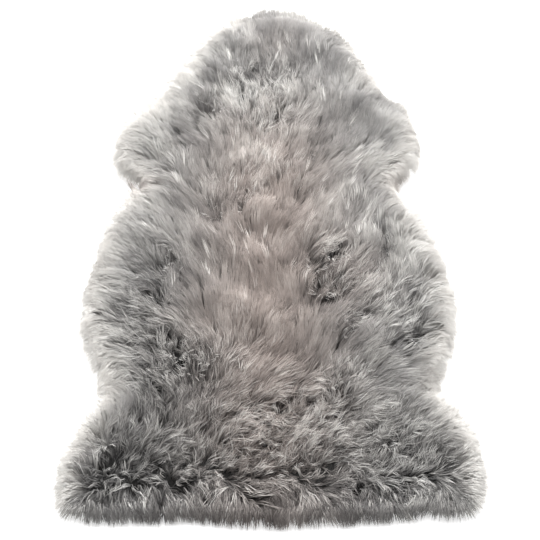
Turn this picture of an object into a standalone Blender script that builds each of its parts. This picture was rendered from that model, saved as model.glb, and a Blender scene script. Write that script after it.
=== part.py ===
"""Sheepskin rug, laid flat with the wool up.

The rug is one piece: a single tanned hide that keeps its own long wool. Its solid is the space that the
wool fills, from the flat underside of the hide on the floor to the tips of the locks, out to where the
locks of the rim slump onto the floor. Seen from above it has the natural outline of a skin: a wide rear
end with two flared corners, a waist, the belly, two rounded front-leg lobes and a round neck.

Metres, +Z up. The rear end is at -Y and the neck at +Y, and the origin is on the floor under the middle.
"""

from collections import namedtuple

import bmesh
import bpy
import numpy as np

# ---------------------------------------------------------------- driving dimensions
PILE_DEPTH = 0.050      # floor to the top of the wool, away from the rim
RIM_HEIGHT = 0.010      # height at which the rim's locks reach furthest out
RIM_TUCK = 0.006        # how far the wool turns back in under its widest reach
RIM_SLOPE = 0.085       # width of the band where the wool slopes down to the floor
RIM_FULLNESS = 2.3      # roundness of that slope: 2 is an ellipse, more is fuller

OUTLINE_SEGMENTS = 150  # points round the edge
CURVE_STEPS = 24        # steps between two given points when the smooth edge is drawn
SLOPE_RINGS = 6         # rings of faces up the rim's slope, closer together towards the edge
CROWN_RINGS = 8         # rings of faces between the slope and the middle
SPINE = (-0.27, 0.27)   # the middle line that the rings close in on, along Y
SPINE_GAP = 0.12        # size of the innermost ring, as a share of the outermost of these

NAME = "sheepskin"
WOOL_COLOUR = (0.335, 0.315, 0.300, 1.0)
WOOL_ROUGHNESS = 0.85

# The outline, one row for each place where the skin's edge changes direction: how far it lies along the
# skin from the rear end, and how far the wool reaches to the left and to the right of the middle line.
Station = namedtuple("Station", "place along left right")
STATIONS = (
    Station("rear corner", 0.014, 0.298, 0.296),
    Station("rear flare", 0.070, 0.314, 0.324),
    Station("above the flare", 0.136, 0.293, 0.313),
    Station("hip", 0.178, 0.264, 0.283),
    Station("waist", 0.214, 0.256, 0.262),
    Station("flank", 0.262, 0.275, 0.279),
    Station("low belly", 0.318, 0.295, 0.298),
    Station("belly", 0.385, 0.299, 0.301),
    Station("high belly", 0.450, 0.286, 0.290),
    Station("ribs", 0.512, 0.272, 0.267),
    Station("behind the leg", 0.566, 0.244, 0.234),
    Station("leg notch", 0.600, 0.218, 0.222),
    Station("leg's rear", 0.630, 0.259, 0.251),
    Station("leg's tip", 0.678, 0.270, 0.268),
    Station("leg's front", 0.729, 0.259, 0.261),
    Station("shoulder", 0.785, 0.209, 0.227),
    Station("neck base", 0.845, 0.173, 0.187),
    Station("neck", 0.905, 0.138, 0.160),
    Station("nape", 0.955, 0.100, 0.124),
    Station("poll", 0.988, 0.044, 0.060),
)

# The rear end runs nearly straight from corner to corner, with a few shallow scallops.
RearPoint = namedtuple("RearPoint", "across along")
REAR_EDGE = (
    RearPoint(-0.232, 0.004),
    RearPoint(-0.120, 0.007),
    RearPoint(-0.026, -0.003),
    RearPoint(0.080, 0.001),
    RearPoint(0.200, 0.009),
)

# Soft waves in the wool's surface: the size of each, how high it swells and the way it runs.
Wave = namedtuple("Wave", "length height heading shift")
WAVES = (
    Wave(0.230, 0.0018, 0.35, 0.4),
    Wave(0.155, 0.0014, 1.45, 2.1),
    Wave(0.105, 0.0012, 2.50, 4.0),
    Wave(0.078, 0.0008, 0.95, 1.3),
)

# Hollows where the locks part and lean away from each other: where each lies from the middle line and
# from the rear end, how far it spreads both ways, and how deep it is.
Hollow = namedtuple("Hollow", "place across along spread_across spread_along depth")
HOLLOWS = (
    Hollow("rear parting, left", -0.150, 0.092, 0.140, 0.030, 0.010),
    Hollow("rear parting, right", 0.130, 0.084, 0.150, 0.030, 0.010),
    Hollow("low back", -0.010, 0.175, 0.060, 0.025, 0.007),
    Hollow("left flank", -0.185, 0.300, 0.030, 0.050, 0.006),
    Hollow("right flank", 0.215, 0.270, 0.030, 0.045, 0.006),
    Hollow("right rib", 0.070, 0.452, 0.025, 0.030, 0.008),
    Hollow("left leg", -0.195, 0.655, 0.045, 0.022, 0.006),
    Hollow("withers", -0.060, 0.780, 0.040, 0.030, 0.005),
)


def rounded_loop(points, count):
    """count points, evenly spaced along a smooth closed curve through the given ones."""
    points = np.asarray(points)
    fine = []
    for i in range(len(points)):
        before, start, end, after = (points[(i + k) % len(points)] for k in (-1, 0, 1, 2))
        # centripetal Catmull-Rom: the knots follow the square root of each chord, so nothing overshoots
        t0 = 0.0
        t1 = t0 + np.sqrt(np.linalg.norm(start - before))
        t2 = t1 + np.sqrt(np.linalg.norm(end - start))
        t3 = t2 + np.sqrt(np.linalg.norm(after - end))
        for t in np.linspace(t1, t2, CURVE_STEPS, endpoint=False):
            a = (before * (t1 - t) + start * (t - t0)) / (t1 - t0)
            b = (start * (t2 - t) + end * (t - t1)) / (t2 - t1)
            c = (end * (t3 - t) + after * (t - t2)) / (t3 - t2)
            ab = (a * (t2 - t) + b * (t - t0)) / (t2 - t0)
            bc = (b * (t3 - t) + c * (t - t1)) / (t3 - t1)
            fine.append((ab * (t2 - t) + bc * (t - t1)) / (t2 - t1))
    fine = np.array(fine + fine[:1])
    walked = np.concatenate([[0.0], np.cumsum(np.linalg.norm(np.diff(fine, axis=0), axis=1))])
    stops = np.linspace(0.0, walked[-1], count, endpoint=False)
    return np.stack([np.interp(stops, walked, fine[:, axis]) for axis in (0, 1)], axis=1)


def skin_outline():
    """The rug's edge as seen from above, anticlockwise, with its bounding box centred on the origin."""
    right_side = [(row.right, row.along) for row in STATIONS]
    left_side = [(-row.left, row.along) for row in reversed(STATIONS)]
    rear = [(row.across, row.along) for row in REAR_EDGE]
    loop = rounded_loop(right_side + left_side + rear, OUTLINE_SEGMENTS)
    middle = (loop.min(axis=0) + loop.max(axis=0)) / 2
    return loop - middle, middle


def distance_to_edge(spots, outline):
    """How far each spot lies from the outline."""
    start = outline
    step = np.roll(outline, -1, axis=0) - outline
    offset = spots[:, None, :] - start[None]
    share = np.clip((offset * step).sum(axis=2) / (step ** 2).sum(axis=1), 0.0, 1.0)
    return np.linalg.norm(offset - share[..., None] * step, axis=2).min(axis=1)


def wool_height(spots, outline, middle):
    """Height of the wool over each spot: the slope up from the rim, then the uneven crown."""
    inward = np.clip(distance_to_edge(spots, outline) / RIM_SLOPE, 0.0, 1.0)
    slope = (1.0 - (1.0 - inward) ** RIM_FULLNESS) ** (1.0 / RIM_FULLNESS)
    height = RIM_HEIGHT + (PILE_DEPTH - RIM_HEIGHT) * slope
    uneven = np.zeros(len(spots))
    for wave in WAVES:
        run = spots[:, 0] * np.cos(wave.heading) + spots[:, 1] * np.sin(wave.heading)
        uneven += wave.height * np.sin(2.0 * np.pi * run / wave.length + wave.shift)
    for hollow in HOLLOWS:
        across = (spots[:, 0] + middle[0] - hollow.across) / hollow.spread_across
        along = (spots[:, 1] + middle[1] - hollow.along) / hollow.spread_along
        uneven -= hollow.depth * np.exp(-(across ** 2 + along ** 2))
    return height + uneven * inward


def ring_spots(outline, inset, size=1.0):
    """The outline drawn in towards the spine by a length, and then shrunk to a share of its size."""
    spine = np.zeros_like(outline)
    spine[:, 1] = np.clip(outline[:, 1], *SPINE)
    ray = outline - spine
    reach = np.linalg.norm(ray, axis=1, keepdims=True)
    return spine + ray * (1.0 - inset / reach) * size


def build_mesh(outline, middle):
    """Rings of faces from the underside's edge, round the rim and over the top, closed at both ends."""
    mesh = bmesh.new()

    def ring(spots, heights):
        return [mesh.verts.new((x, y, z)) for (x, y), z in zip(spots, heights)]

    def band(lower, upper):
        for i in range(len(lower)):
            j = (i + 1) % len(lower)
            mesh.faces.new((lower[i], lower[j], upper[j], upper[i]))

    underside = ring(ring_spots(outline, RIM_TUCK), np.zeros(len(outline)))
    steps = [(RIM_SLOPE * (k / SLOPE_RINGS) ** 2, 1.0) for k in range(SLOPE_RINGS + 1)]
    steps += [(RIM_SLOPE, size) for size in np.linspace(1.0, SPINE_GAP, CROWN_RINGS + 1)[1:]]
    rings = [underside]
    for inset, size in steps:
        spots = ring_spots(outline, inset, size)
        rings.append(ring(spots, wool_height(spots, outline, middle)))
    for lower, upper in zip(rings, rings[1:]):
        band(lower, upper)

    mesh.faces.new(list(reversed(underside)))
    crown = mesh.faces.new(rings[-1])
    bmesh.ops.triangulate(mesh, faces=[crown], ngon_method="BEAUTY")
    bmesh.ops.recalc_face_normals(mesh, faces=mesh.faces)
    return mesh


def wool_material():
    """Grey wool: matt, with no metal in it."""
    material = bpy.data.materials.new("wool")
    material.use_nodes = True
    surface = material.node_tree.nodes["Principled BSDF"]
    surface.inputs["Base Color"].default_value = WOOL_COLOUR
    surface.inputs["Roughness"].default_value = WOOL_ROUGHNESS
    surface.inputs["Metallic"].default_value = 0.0
    return material


def build_sheepskin():
    outline, middle = skin_outline()
    shape = bpy.data.meshes.new(NAME)
    mesh = build_mesh(outline, middle)
    mesh.to_mesh(shape)
    mesh.free()
    shape.materials.append(wool_material())
    shape.shade_smooth()
    rug = bpy.data.objects.new(NAME, shape)
    bpy.context.scene.collection.objects.link(rug)
    return rug


for old in list(bpy.data.objects):
    bpy.data.objects.remove(old)
build_sheepskin()
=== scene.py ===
# %% [markdown]
# # A sheepskin rug
# A sheepskin rug is one tanned hide that keeps its own wool. It lies flat with the wool up, so what shows
# is wool and nothing else: many thousands of fine strands, gathered into locks that lean over one another.
# This lesson builds it the way it grew: first the thin hide, then the short dense underwool that hides the
# skin, then the long locks, combed by one smooth rule that says which way the wool lies at each place.

# %% Load the frame
import math
from collections import namedtuple

import bmesh
import bpy
import numpy as np
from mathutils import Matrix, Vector
from mathutils.bvhtree import BVHTree


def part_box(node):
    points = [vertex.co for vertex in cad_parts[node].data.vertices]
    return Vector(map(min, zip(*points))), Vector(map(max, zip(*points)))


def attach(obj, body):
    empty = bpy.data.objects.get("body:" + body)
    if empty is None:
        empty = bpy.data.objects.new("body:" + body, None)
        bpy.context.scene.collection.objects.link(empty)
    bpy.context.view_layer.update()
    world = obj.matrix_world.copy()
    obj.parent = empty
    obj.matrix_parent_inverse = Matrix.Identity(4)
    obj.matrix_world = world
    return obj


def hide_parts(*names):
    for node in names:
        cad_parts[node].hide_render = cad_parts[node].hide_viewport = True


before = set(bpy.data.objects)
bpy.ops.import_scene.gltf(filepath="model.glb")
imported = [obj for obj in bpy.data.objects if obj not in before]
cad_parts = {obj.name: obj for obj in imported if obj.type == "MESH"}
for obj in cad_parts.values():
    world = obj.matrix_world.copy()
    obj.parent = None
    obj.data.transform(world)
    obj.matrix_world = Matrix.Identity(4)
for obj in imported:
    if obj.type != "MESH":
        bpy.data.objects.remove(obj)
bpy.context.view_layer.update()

low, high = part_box("sheepskin")
print("the rug is", [round(float(b - a), 3) for a, b in zip(low, high)], "metres")

# %% [markdown]
# ## Camera
# The rug is looked at from in front of its wide rear end and from well above, as by someone who stands at
# its foot. The far end looks smaller than the near one, so the camera stands about two metres away
# and has a long lens.

# %% Camera
VIEW_ELEVATION = math.radians(58.0)
VIEW_DISTANCE = 2.0
VIEW_AIM = Vector((-0.002, -0.0494, 0.0))
LENS_MM = 80.6

camera_data = bpy.data.cameras.new("camera")
camera_data.lens = LENS_MM
camera_data.sensor_width = 36.0
camera = bpy.data.objects.new("camera", camera_data)
bpy.context.scene.collection.objects.link(camera)
towards_viewer = Vector((0.0, -math.cos(VIEW_ELEVATION), math.sin(VIEW_ELEVATION)))
camera.location = VIEW_AIM + towards_viewer * VIEW_DISTANCE
camera.rotation_euler = (math.pi / 2 - VIEW_ELEVATION, 0.0, 0.0)
bpy.context.scene.camera = camera
print("camera at", tuple(round(value, 3) for value in camera.location))

# %% [markdown]
# ## The outline, read from the frame
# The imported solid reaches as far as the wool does, and its flat underside has the outline of the skin. The
# border of that underside is walked from corner to corner, and then spaced evenly, so that every later
# piece can be drawn from the same line.

# %% The border of the underside
SAME_PLACE = 1e-5       # points closer together than this are one point
FACING_DOWN = -0.999    # the faces of the flat underside point down at least this squarely


def underside_loop(node):
    """The border of a node's flat underside, in order, seen from above."""
    merged = bmesh.new()
    merged.from_mesh(node.data)
    bmesh.ops.remove_doubles(merged, verts=merged.verts, dist=SAME_PLACE)
    merged.normal_update()
    follows = {}
    for edge in merged.edges:
        flat = [face for face in edge.link_faces if face.normal.z < FACING_DOWN]
        if len(flat) == 1:
            a, b = (vert.co.xy.to_tuple() for vert in edge.verts)
            follows.setdefault(a, []).append(b)
            follows.setdefault(b, []).append(a)
    merged.free()
    start = min(follows)
    loop, last = [start], None
    while True:
        ahead = [spot for spot in follows[loop[-1]] if spot != last]
        last = loop[-1]
        if ahead[0] == start and len(loop) > 2:
            break
        loop.append(ahead[0])
    loop = np.array(loop)
    turn = np.cross(loop, np.roll(loop, -1, axis=0)).sum()
    return loop if turn > 0 else loop[::-1]


border = underside_loop(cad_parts["sheepskin"])
print("the underside's border has", len(border), "corners")

# %% An even outline, and lines drawn in from it
OUTLINE_POINTS = 180
RIM_TUCK = 0.006        # the wool reaches this much further out than the solid's underside
SPINE_END = 0.27        # the skin's middle line runs this far each way from the centre


def evenly(loop, count):
    """count points evenly spaced along a closed line."""
    closed = np.vstack([loop, loop[:1]])
    walked = np.concatenate([[0.0], np.cumsum(np.linalg.norm(np.diff(closed, axis=0), axis=1))])
    stops = np.linspace(0.0, walked[-1], count, endpoint=False)
    return np.stack([np.interp(stops, walked, closed[:, k]) for k in (0, 1)], axis=1)


def drawn_in(loop, inset, size=1.0):
    """The outline moved in towards the middle line by a length, and then shrunk to a share of its size."""
    spine = np.zeros_like(loop)
    spine[:, 1] = np.clip(loop[:, 1], -SPINE_END, SPINE_END)
    ray = loop - spine
    reach = np.linalg.norm(ray, axis=1, keepdims=True)
    return spine + ray * (1.0 - inset / reach) * size


floor_line = evenly(border, OUTLINE_POINTS)
wool_line = drawn_in(floor_line, -RIM_TUCK)
print("outline length", round(float(np.linalg.norm(np.diff(floor_line, axis=0), axis=1).sum()), 3), "m")

# %% [markdown]
# ## Measuring over the plan
# Every strand asks the same questions about its place: how far off is the edge, which way is out, and how
# deep is the wool there. They could be answered strand by strand, but there are a great many strands. So
# the answers are worked out once, at the points of a square grid, and a strand reads between the points.

# %% The distance from an outline
def edge_distance(spots, loop, chunk=4000):
    """How far inside the loop each spot lies (negative outside), and the way out to its nearest edge."""
    step = np.roll(loop, -1, axis=0) - loop
    depth, way = np.empty(len(spots)), np.empty((len(spots), 2))
    for first in range(0, len(spots), chunk):
        part = spots[first:first + chunk]
        offset = part[:, None, :] - loop[None]
        share = np.clip((offset * step).sum(axis=2) / (step ** 2).sum(axis=1), 0.0, 1.0)
        gap = share[..., None] * step - offset
        length = np.linalg.norm(gap, axis=2)
        near = length.argmin(axis=1)
        rows = np.arange(len(part))
        ahead = np.roll(loop, -1, axis=0)
        crosses = (loop[:, 1] > part[:, 1:2]) != (ahead[:, 1] > part[:, 1:2])
        rise = np.where(step[:, 1] == 0, 1e-12, step[:, 1])
        run = loop[:, 0] + (part[:, 1:2] - loop[:, 1]) * step[:, 0] / rise
        inside = (crosses & (part[:, :1] < run)).sum(axis=1) % 2 == 1
        sign = np.where(inside, 1.0, -1.0)
        depth[first:first + chunk] = sign * length[rows, near]
        nearest = length[rows, near][:, None]
        way[first:first + chunk] = sign[:, None] * gap[rows, near] / np.maximum(nearest, 1e-9)
    return depth, way


middle_depth = edge_distance(np.zeros((1, 2)), wool_line)[0][0]
print("the middle is", round(float(middle_depth), 3), "m from the edge")

# %% A grid over the plan
GRID_STEP = 0.004
GRID_MARGIN = 0.06
grid_start = np.array([low[0] - GRID_MARGIN, low[1] - GRID_MARGIN])
grid_count = [int((high[k] - low[k] + 2 * GRID_MARGIN) / GRID_STEP) + 2 for k in (0, 1)]


def grid_spots():
    """The plan places of all the grid's points."""
    i, j = np.meshgrid(np.arange(grid_count[0]), np.arange(grid_count[1]), indexing="ij")
    return grid_start + np.stack([i, j], axis=-1).reshape(-1, 2) * GRID_STEP


def read_between(grid, spots):
    """The value at each spot, read between the grid's points."""
    place = np.clip((spots - grid_start) / GRID_STEP, 0.0, np.array(grid.shape[:2]) - 1.001)
    i, j = place.astype(int).T
    u, v = (place - place.astype(int)).T[:, :, None]
    front = grid[i, j] * (1 - u) + grid[i + 1, j] * u
    back = grid[i, j + 1] * (1 - u) + grid[i + 1, j + 1] * u
    return front * (1 - v) + back * v


print("grid of", grid_count, "points")

# %% Directions of length one
def unit(vectors):
    """The same directions, each with a length of one."""
    return vectors / np.maximum(np.linalg.norm(vectors, axis=-1, keepdims=True), 1e-9)


print("three across and four along gives", unit(np.array([[3.0, 4.0]])).round(2).tolist())

# %% The way out to the edge, on the grid
WAY_BLURS = 10          # how often the ways out are averaged with their neighbours, to round off corners


def edge_grid(loop):
    """The depth inside a loop and the way out, at each point of the grid."""
    depth, ways = edge_distance(grid_spots(), loop)
    ways = ways.reshape(*grid_count, 2)
    for _ in range(WAY_BLURS):
        for side in (0, 1):
            ways = (np.roll(ways, 1, side) + 2.0 * ways + np.roll(ways, -1, side)) / 4.0
    return np.concatenate([depth.reshape(*grid_count, 1), ways], axis=2)


def near_edge(grid, spots):
    """How far inside the edge each spot lies, and the way out."""
    value = read_between(grid, spots)
    return value[:, 0], unit(value[:, 1:])


wool_edge = edge_grid(wool_line)
print("at the right side the way out is", near_edge(wool_edge, np.array([[0.2, 0.0]]))[1].round(2).tolist())

# %% The height of the wool
def height_grid(node):
    """The top of a node's solid above each point of the grid, 0 where there is none."""
    tree = BVHTree.FromPolygons([v.co for v in node.data.vertices], [p.vertices for p in node.data.polygons])
    down = Vector((0.0, 0.0, -1.0))
    hits = [tree.ray_cast(Vector((x, y, 1.0)), down)[0] for x, y in grid_spots()]
    return np.array([hit.z if hit else 0.0 for hit in hits]).reshape(*grid_count, 1)


wool_top_grid = height_grid(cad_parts["sheepskin"])


def wool_top(spots):
    """The height of the wool above each spot."""
    return read_between(wool_top_grid, spots)[:, 0]


print("wool stands up to", round(float(wool_top_grid.max()), 4), "m")

# %% [markdown]
# ## Which way the wool lies
# Wool isn't combed flat. On the back it leans towards the neck, it turns outwards near the edges and falls
# over them, and it swirls on the way. All of that is one rule from a place to a direction. A list names
# stretches of wool and the way each one points, and every place takes the average of the stretches near
# it, so the wool turns smoothly from one to the next. A slow swirl loosens it, and a band at the rim turns
# it outwards. Guides combed by hand could say the same, but a list is easier to read and to change.

# %% Helpers for plan directions
def turned(way, angle):
    """Plan directions turned by an angle each, anticlockwise."""
    c, s = np.cos(angle), np.sin(angle)
    return np.stack([way[:, 0] * c - way[:, 1] * s, way[:, 0] * s + way[:, 1] * c], axis=1)


def nearness(spots, row):
    """1 at the middle of a listed patch, falling off to 0 outside it."""
    across, along = (spots[:, 0] - row.x) / row.across, (spots[:, 1] - row.y) / row.along
    return np.exp(-(across ** 2 + along ** 2))


def smooth_step(value, start, end):
    """0 up to start, 1 from end on, and an even slope between them."""
    share = np.clip((value - start) / (end - start), 0.0, 1.0)
    return share * share * (3.0 - 2.0 * share)


print("a quarter turn of left to right is", turned(np.array([[1.0, 0.0]]), math.pi / 2).round(2).tolist())

# %% Soft, seeded unevenness
NOISE_SCALE = 0.6       # brings the sum of the waves to about -1 to 1


def soft_noise(spots, wavelength, seed, waves=9):
    """A smooth, seeded unevenness over the plan, about -1 to 1, with bumps near the given wavelength."""
    draw = np.random.default_rng(seed)
    heading = draw.uniform(0.0, 2.0 * np.pi, waves)
    scale = 2.0 * np.pi / (wavelength * draw.uniform(0.7, 1.5, waves))
    shift = draw.uniform(0.0, 2.0 * np.pi, waves)
    total = np.zeros(len(spots))
    for angle, rate, start in zip(heading, scale, shift):
        run = spots[:, 0] * math.cos(angle) + spots[:, 1] * math.sin(angle)
        total += np.sin(run * rate + start)
    return total * math.sqrt(2.0 / waves) * NOISE_SCALE


def layered(spots, layers, level=0.0):
    """Soft noise in layers on a level: how strong each one is, how far its bumps are apart, and its seed."""
    for strength, wavelength, seed in layers:
        level = level + strength * soft_noise(spots, wavelength, seed)
    return level


sample = soft_noise(grid_spots(), 0.10, 1)
print("soft noise runs from", round(float(sample.min()), 2), "to", round(float(sample.max()), 2))

# %% A helper for tables of places
def listed(kind, rows, lengths=4):
    """Rows of a table as places with names. After the name, so many numbers are lengths in millimetres."""
    return tuple(kind(name, *(number / 1000 for number in numbers[:lengths]), *numbers[lengths:])
                 for name, *numbers in rows)


Spot = namedtuple("Spot", "place x y")
print("in metres:", listed(Spot, (("the tail", 0, -372),), lengths=2))

# %% Stretches of wool, and the way each one points
# Each stretch: where it is, in millimetres, and its heading in degrees from the left-to-right line.
Stretch = namedtuple("Stretch", "place x y heading")
STRETCHES = listed(Stretch, (
    ("top of the neck", 0, 440, 95),
    ("neck, left", -70, 350, 118),
    ("neck, middle", 0, 340, 98),
    ("neck, right", 70, 350, 84),
    ("left shoulder", -150, 230, 122),
    ("withers, left", -60, 230, 112),
    ("withers, right", 40, 230, 62),
    ("right shoulder", 140, 240, 74),
    ("left foreleg", -220, 140, 160),
    ("behind left foreleg", -140, 130, 118),
    ("upper back, left", -60, 130, 80),
    ("upper back, middle", 10, 140, 55),
    ("upper back, right", 90, 130, 66),
    ("right foreleg", 200, 150, 44),
    ("left side", -160, 40, 106),
    ("back, left", -70, 30, 112),
    ("back, middle", 0, 20, 62),
    ("back, right", 80, 20, 72),
    ("right side", 160, 20, 72),
    ("left belly, upper", -200, -60, 138),
    ("ribs, left", -100, -70, 122),
    ("ribs, middle", -20, -80, 84),
    ("ribs, right", 90, -100, 58),
    ("right belly, upper", 190, -80, 64),
    ("left belly", -210, -160, 152),
    ("loin, left", -110, -160, 128),
    ("loin, middle", -30, -170, 80),
    ("loin, right", 60, -180, 72),
    ("right belly", 190, -180, 38),
    ("left thigh", -200, -260, 180),
    ("rump, left", -110, -250, 70),
    ("rump, middle", -10, -260, 50),
    ("rump, right", 80, -270, 42),
    ("right thigh", 180, -270, 34),
    ("left hip", -180, -340, 78),
    ("tail head, left", -80, -340, 34),
    ("tail head", 10, -340, 20),
    ("tail head, right", 90, -340, 40),
    ("right hip", 180, -340, 58),
    ("rear, left", -160, -400, 55),
    ("rear, middle", 0, -400, 30),
    ("rear, right", 160, -395, 34),
), lengths=2)
print(len(STRETCHES), "stretches of wool")

# %% The lie of the wool
STRETCH_REACH = 0.050   # how far a listed stretch has its say
SWIRLS = ((0.20, 0.16, 11), (0.26, 0.070, 12))      # these turn the lie, in radians
RIM_TURN = 0.075        # the band in which the wool turns outwards
BAND_WAVES = ((1.0, 0.10, 13), (0.8, 0.045, 17))    # the band is wider here and narrower there,
BAND_UNEVEN = 0.20      # by about this share of its width,
BAND_UNEVEN_REAR = 0.18     # and by this much more at the rear
BAND_WIDER_LEFT, BAND_WIDER_RIGHT = 0.50, 0.25      # towards the rear corners it is wider by these shares
FAN_SWIRLS = ((0.20, 0.08, 14),)
FAN_FORWARD = 0.18      # the wool that fans out at the rim still leans this much towards the neck
LOWEST_FAN = -0.75      # except at the rear, the rim's wool doesn't turn further to the rear than this
REAR_END = (0.33, 0.42)     # the rear end starts and is complete at these distances behind the centre


def rear_edge(spots, out):
    """1 where the nearest edge is the rear one, towards the viewer, and 0 elsewhere."""
    return smooth_step(-out[:, 1], 0.3, 0.85) * smooth_step(-spots[:, 1], *REAR_END)


def lie(spots):
    """The plan direction in which the wool leans at each spot, shorter where the stretches disagree."""
    depth, out = near_edge(wool_edge, spots)
    way, share = np.zeros_like(spots), np.full(len(spots), 1e-12)
    for row in STRETCHES:
        heading = math.radians(row.heading)
        near = np.exp(-((spots - np.array([row.x, row.y])) ** 2).sum(axis=1) / (2.0 * STRETCH_REACH ** 2))
        way += near[:, None] * np.array([math.cos(heading), math.sin(heading)])
        share += near
    way = way / share[:, None]
    way = turned(way, layered(spots, SWIRLS))
    rear = rear_edge(spots, out)
    uneven = (BAND_UNEVEN + BAND_UNEVEN_REAR * rear) * layered(spots, BAND_WAVES)
    left, right = smooth_step(-spots[:, 0], 0.03, 0.15), smooth_step(spots[:, 0], 0.05, 0.20)
    band = RIM_TURN * (1.0 + uneven + rear * (BAND_WIDER_LEFT * left + BAND_WIDER_RIGHT * right))
    rim = (1.0 - smooth_step(depth, 0.3 * band, band))[:, None]
    fan = turned(out, layered(spots, FAN_SWIRLS)) + np.array([0.0, FAN_FORWARD])
    fan[:, 1] = np.maximum(fan[:, 1], LOWEST_FAN - rear)
    return way * (1.0 - rim) + unit(fan) * rim


print("the wool leans", lie(np.array([[0.0, 0.0], [-0.2, -0.26]])).round(2).tolist())

# %% [markdown]
# ## Smooth wool and ruffled wool
# On the middle of the back the wool is smooth: the strands run side by side and the light slides over them.
# On the flanks, at the rear and in a patch on the neck it is ruffled: thin wisps curl every way, tips
# stand at all heights, and dark gaps open between them. One number for each place, from 0 smooth to 1
# ruffled, steers all of it, so the same strands can make both. Gaps are listed apart: in a gap the
# wool lies deep and dark, and the wisps round it lean away.

# %% Ruffled places
# Each place: where it is, how wide and how long, in millimetres, and how ruffled.
Ruffle = namedtuple("Ruffle", "place x y across along amount")
RUFFLES = listed(Ruffle, (
    ("rear", 0, -420, 400, 85, 1.20),
    ("rump", 0, -325, 230, 45, 0.40),
    ("rump, left", -120, -260, 80, 60, 0.60),
    ("left flank", -190, -190, 50, 80, 0.65),
    ("left ribs", -170, -75, 40, 40, 0.40),
    ("right ribs", 80, -80, 45, 40, 0.60),
    ("right belly", 170, -150, 80, 80, 0.50),
    ("right belly, edge", 225, -210, 30, 50, 0.50),
    ("tail head", 10, -340, 50, 30, 0.40),
    ("rump, right", 80, -280, 90, 50, 0.25),
    ("neck", -15, 295, 65, 45, 0.85),
    ("withers", -10, 200, 60, 45, 0.55),
    ("left shoulder", -170, 145, 35, 30, 0.35),
    ("back, left", -60, 40, 50, 35, 0.30),
    ("upper back", -20, 100, 60, 35, 0.35),
))
print(len(RUFFLES), "ruffled places")

# %% Gaps
# Each gap: where it is, how wide and long, and how deep the wool lies there, all in millimetres.
Gap = namedtuple("Gap", "place x y across along depth")
NAMED_GAPS = listed(Gap, (
    ("right ribs, upper", 102, -46, 15, 10, 15),
    ("right ribs, upper, near end", 74, -64, 12, 9, 13),
    ("right ribs, lower", 84, -115, 15, 9, 14),
    ("right ribs, lower, far end", 104, -110, 9, 7, 11),
    ("right flank", 128, -170, 12, 9, 10),
    ("right flank, near", 108, -192, 7, 6, 8),
    ("right belly edge", 228, -192, 13, 12, 16),
    ("right belly", 240, -96, 9, 12, 11),
    ("right side", 188, -26, 7, 12, 9),
    ("right hip", 93, -278, 9, 9, 10),
    ("rear, right", 173, -372, 8, 14, 12),
    ("tail head", 16, -335, 12, 6, 9),
    ("tail", -4, -372, 10, 6, 9),
    ("rear seam, far left", -245, -412, 12, 8, 8),
    ("rear seam, left", -205, -432, 14, 10, 10),
    ("rear seam, left of tail", -148, -432, 16, 12, 14),
    ("rear seam, near tail", -100, -412, 14, 10, 10),
    ("rear seam, middle", -20, -428, 14, 7, 7),
    ("rear seam, right of tail", 50, -432, 14, 9, 8),
    ("rear seam, right", 125, -438, 16, 9, 9),
    ("rear seam, far right", 200, -425, 14, 10, 8),
    ("left thigh", -146, -225, 13, 10, 12),
    ("left thigh, upper", -161, -196, 8, 8, 9),
    ("left thigh, inner", -98, -238, 10, 7, 9),
    ("back, lower", 30, -206, 7, 5, 6),
    ("left thigh, lower", -120, -255, 12, 8, 10),
    ("left thigh, outer", -175, -262, 10, 8, 8),
    ("left hip", -252, -367, 10, 13, 10),
    ("left flank", -175, -140, 9, 9, 9),
    ("left ribs", -160, -85, 9, 9, 9),
    ("left ribs, upper", -160, -52, 8, 8, 9),
    ("left side", -231, -12, 7, 5, 7),
    ("back, left", -41, 44, 10, 8, 9),
    ("back, far left", -95, 34, 8, 8, 9),
    ("left foreleg", -143, 188, 11, 8, 9),
    ("upper back, left", -82, 172, 8, 7, 8),
    ("upper back, right", 62, 155, 7, 6, 8),
    ("withers, left", -92, 262, 9, 6, 8),
    ("neck, upper left", -44, 366, 10, 8, 9),
    ("neck, upper right", 42, 336, 8, 6, 8),
    ("neck, left", -55, 300, 10, 9, 9),
    ("neck, right", 20, 250, 9, 9, 8),
), lengths=5)
print(len(NAMED_GAPS), "named gaps")

# %% How ruffled the wool is
SMOOTH_LEVEL = 0.02
RUFFLE_LAYERS = ((0.10, 0.10, 15), (0.12, 0.045, 16))
GAP_SURROUNDINGS = 1.5  # the surroundings of a gap are this many times as wide as the gap,
GAP_RUFFLE = 0.6        # and ruffled by this much more than the rest
CALM_RIM = (0.035, 0.080)   # towards the outline the wool turns smooth, between these distances from it,
LESS_CALM_REAR = 0.25   # though less so at the rear


def surroundings(gap):
    """A gap with the wool round it."""
    return gap._replace(across=GAP_SURROUNDINGS * gap.across, along=GAP_SURROUNDINGS * gap.along)


def ruffled(spots):
    """How untidy the wool is at each spot, 0 smooth to 1 ruffled."""
    depth, out = near_edge(wool_edge, spots)
    amount = layered(spots, RUFFLE_LAYERS, SMOOTH_LEVEL)
    for row in RUFFLES:
        amount = amount + row.amount * nearness(spots, row)
    for row in NAMED_GAPS:
        amount = amount + GAP_RUFFLE * nearness(spots, surroundings(row))
    calm = 1.0 - LESS_CALM_REAR * rear_edge(spots, out)
    return np.clip(amount, 0.0, 1.0) * (1.0 - calm * (1.0 - smooth_step(depth, *CALM_RIM)))


print("on the back and at the rear:", ruffled(np.array([[0.0, 0.0], [0.0, -0.42]])).round(2).tolist())

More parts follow.
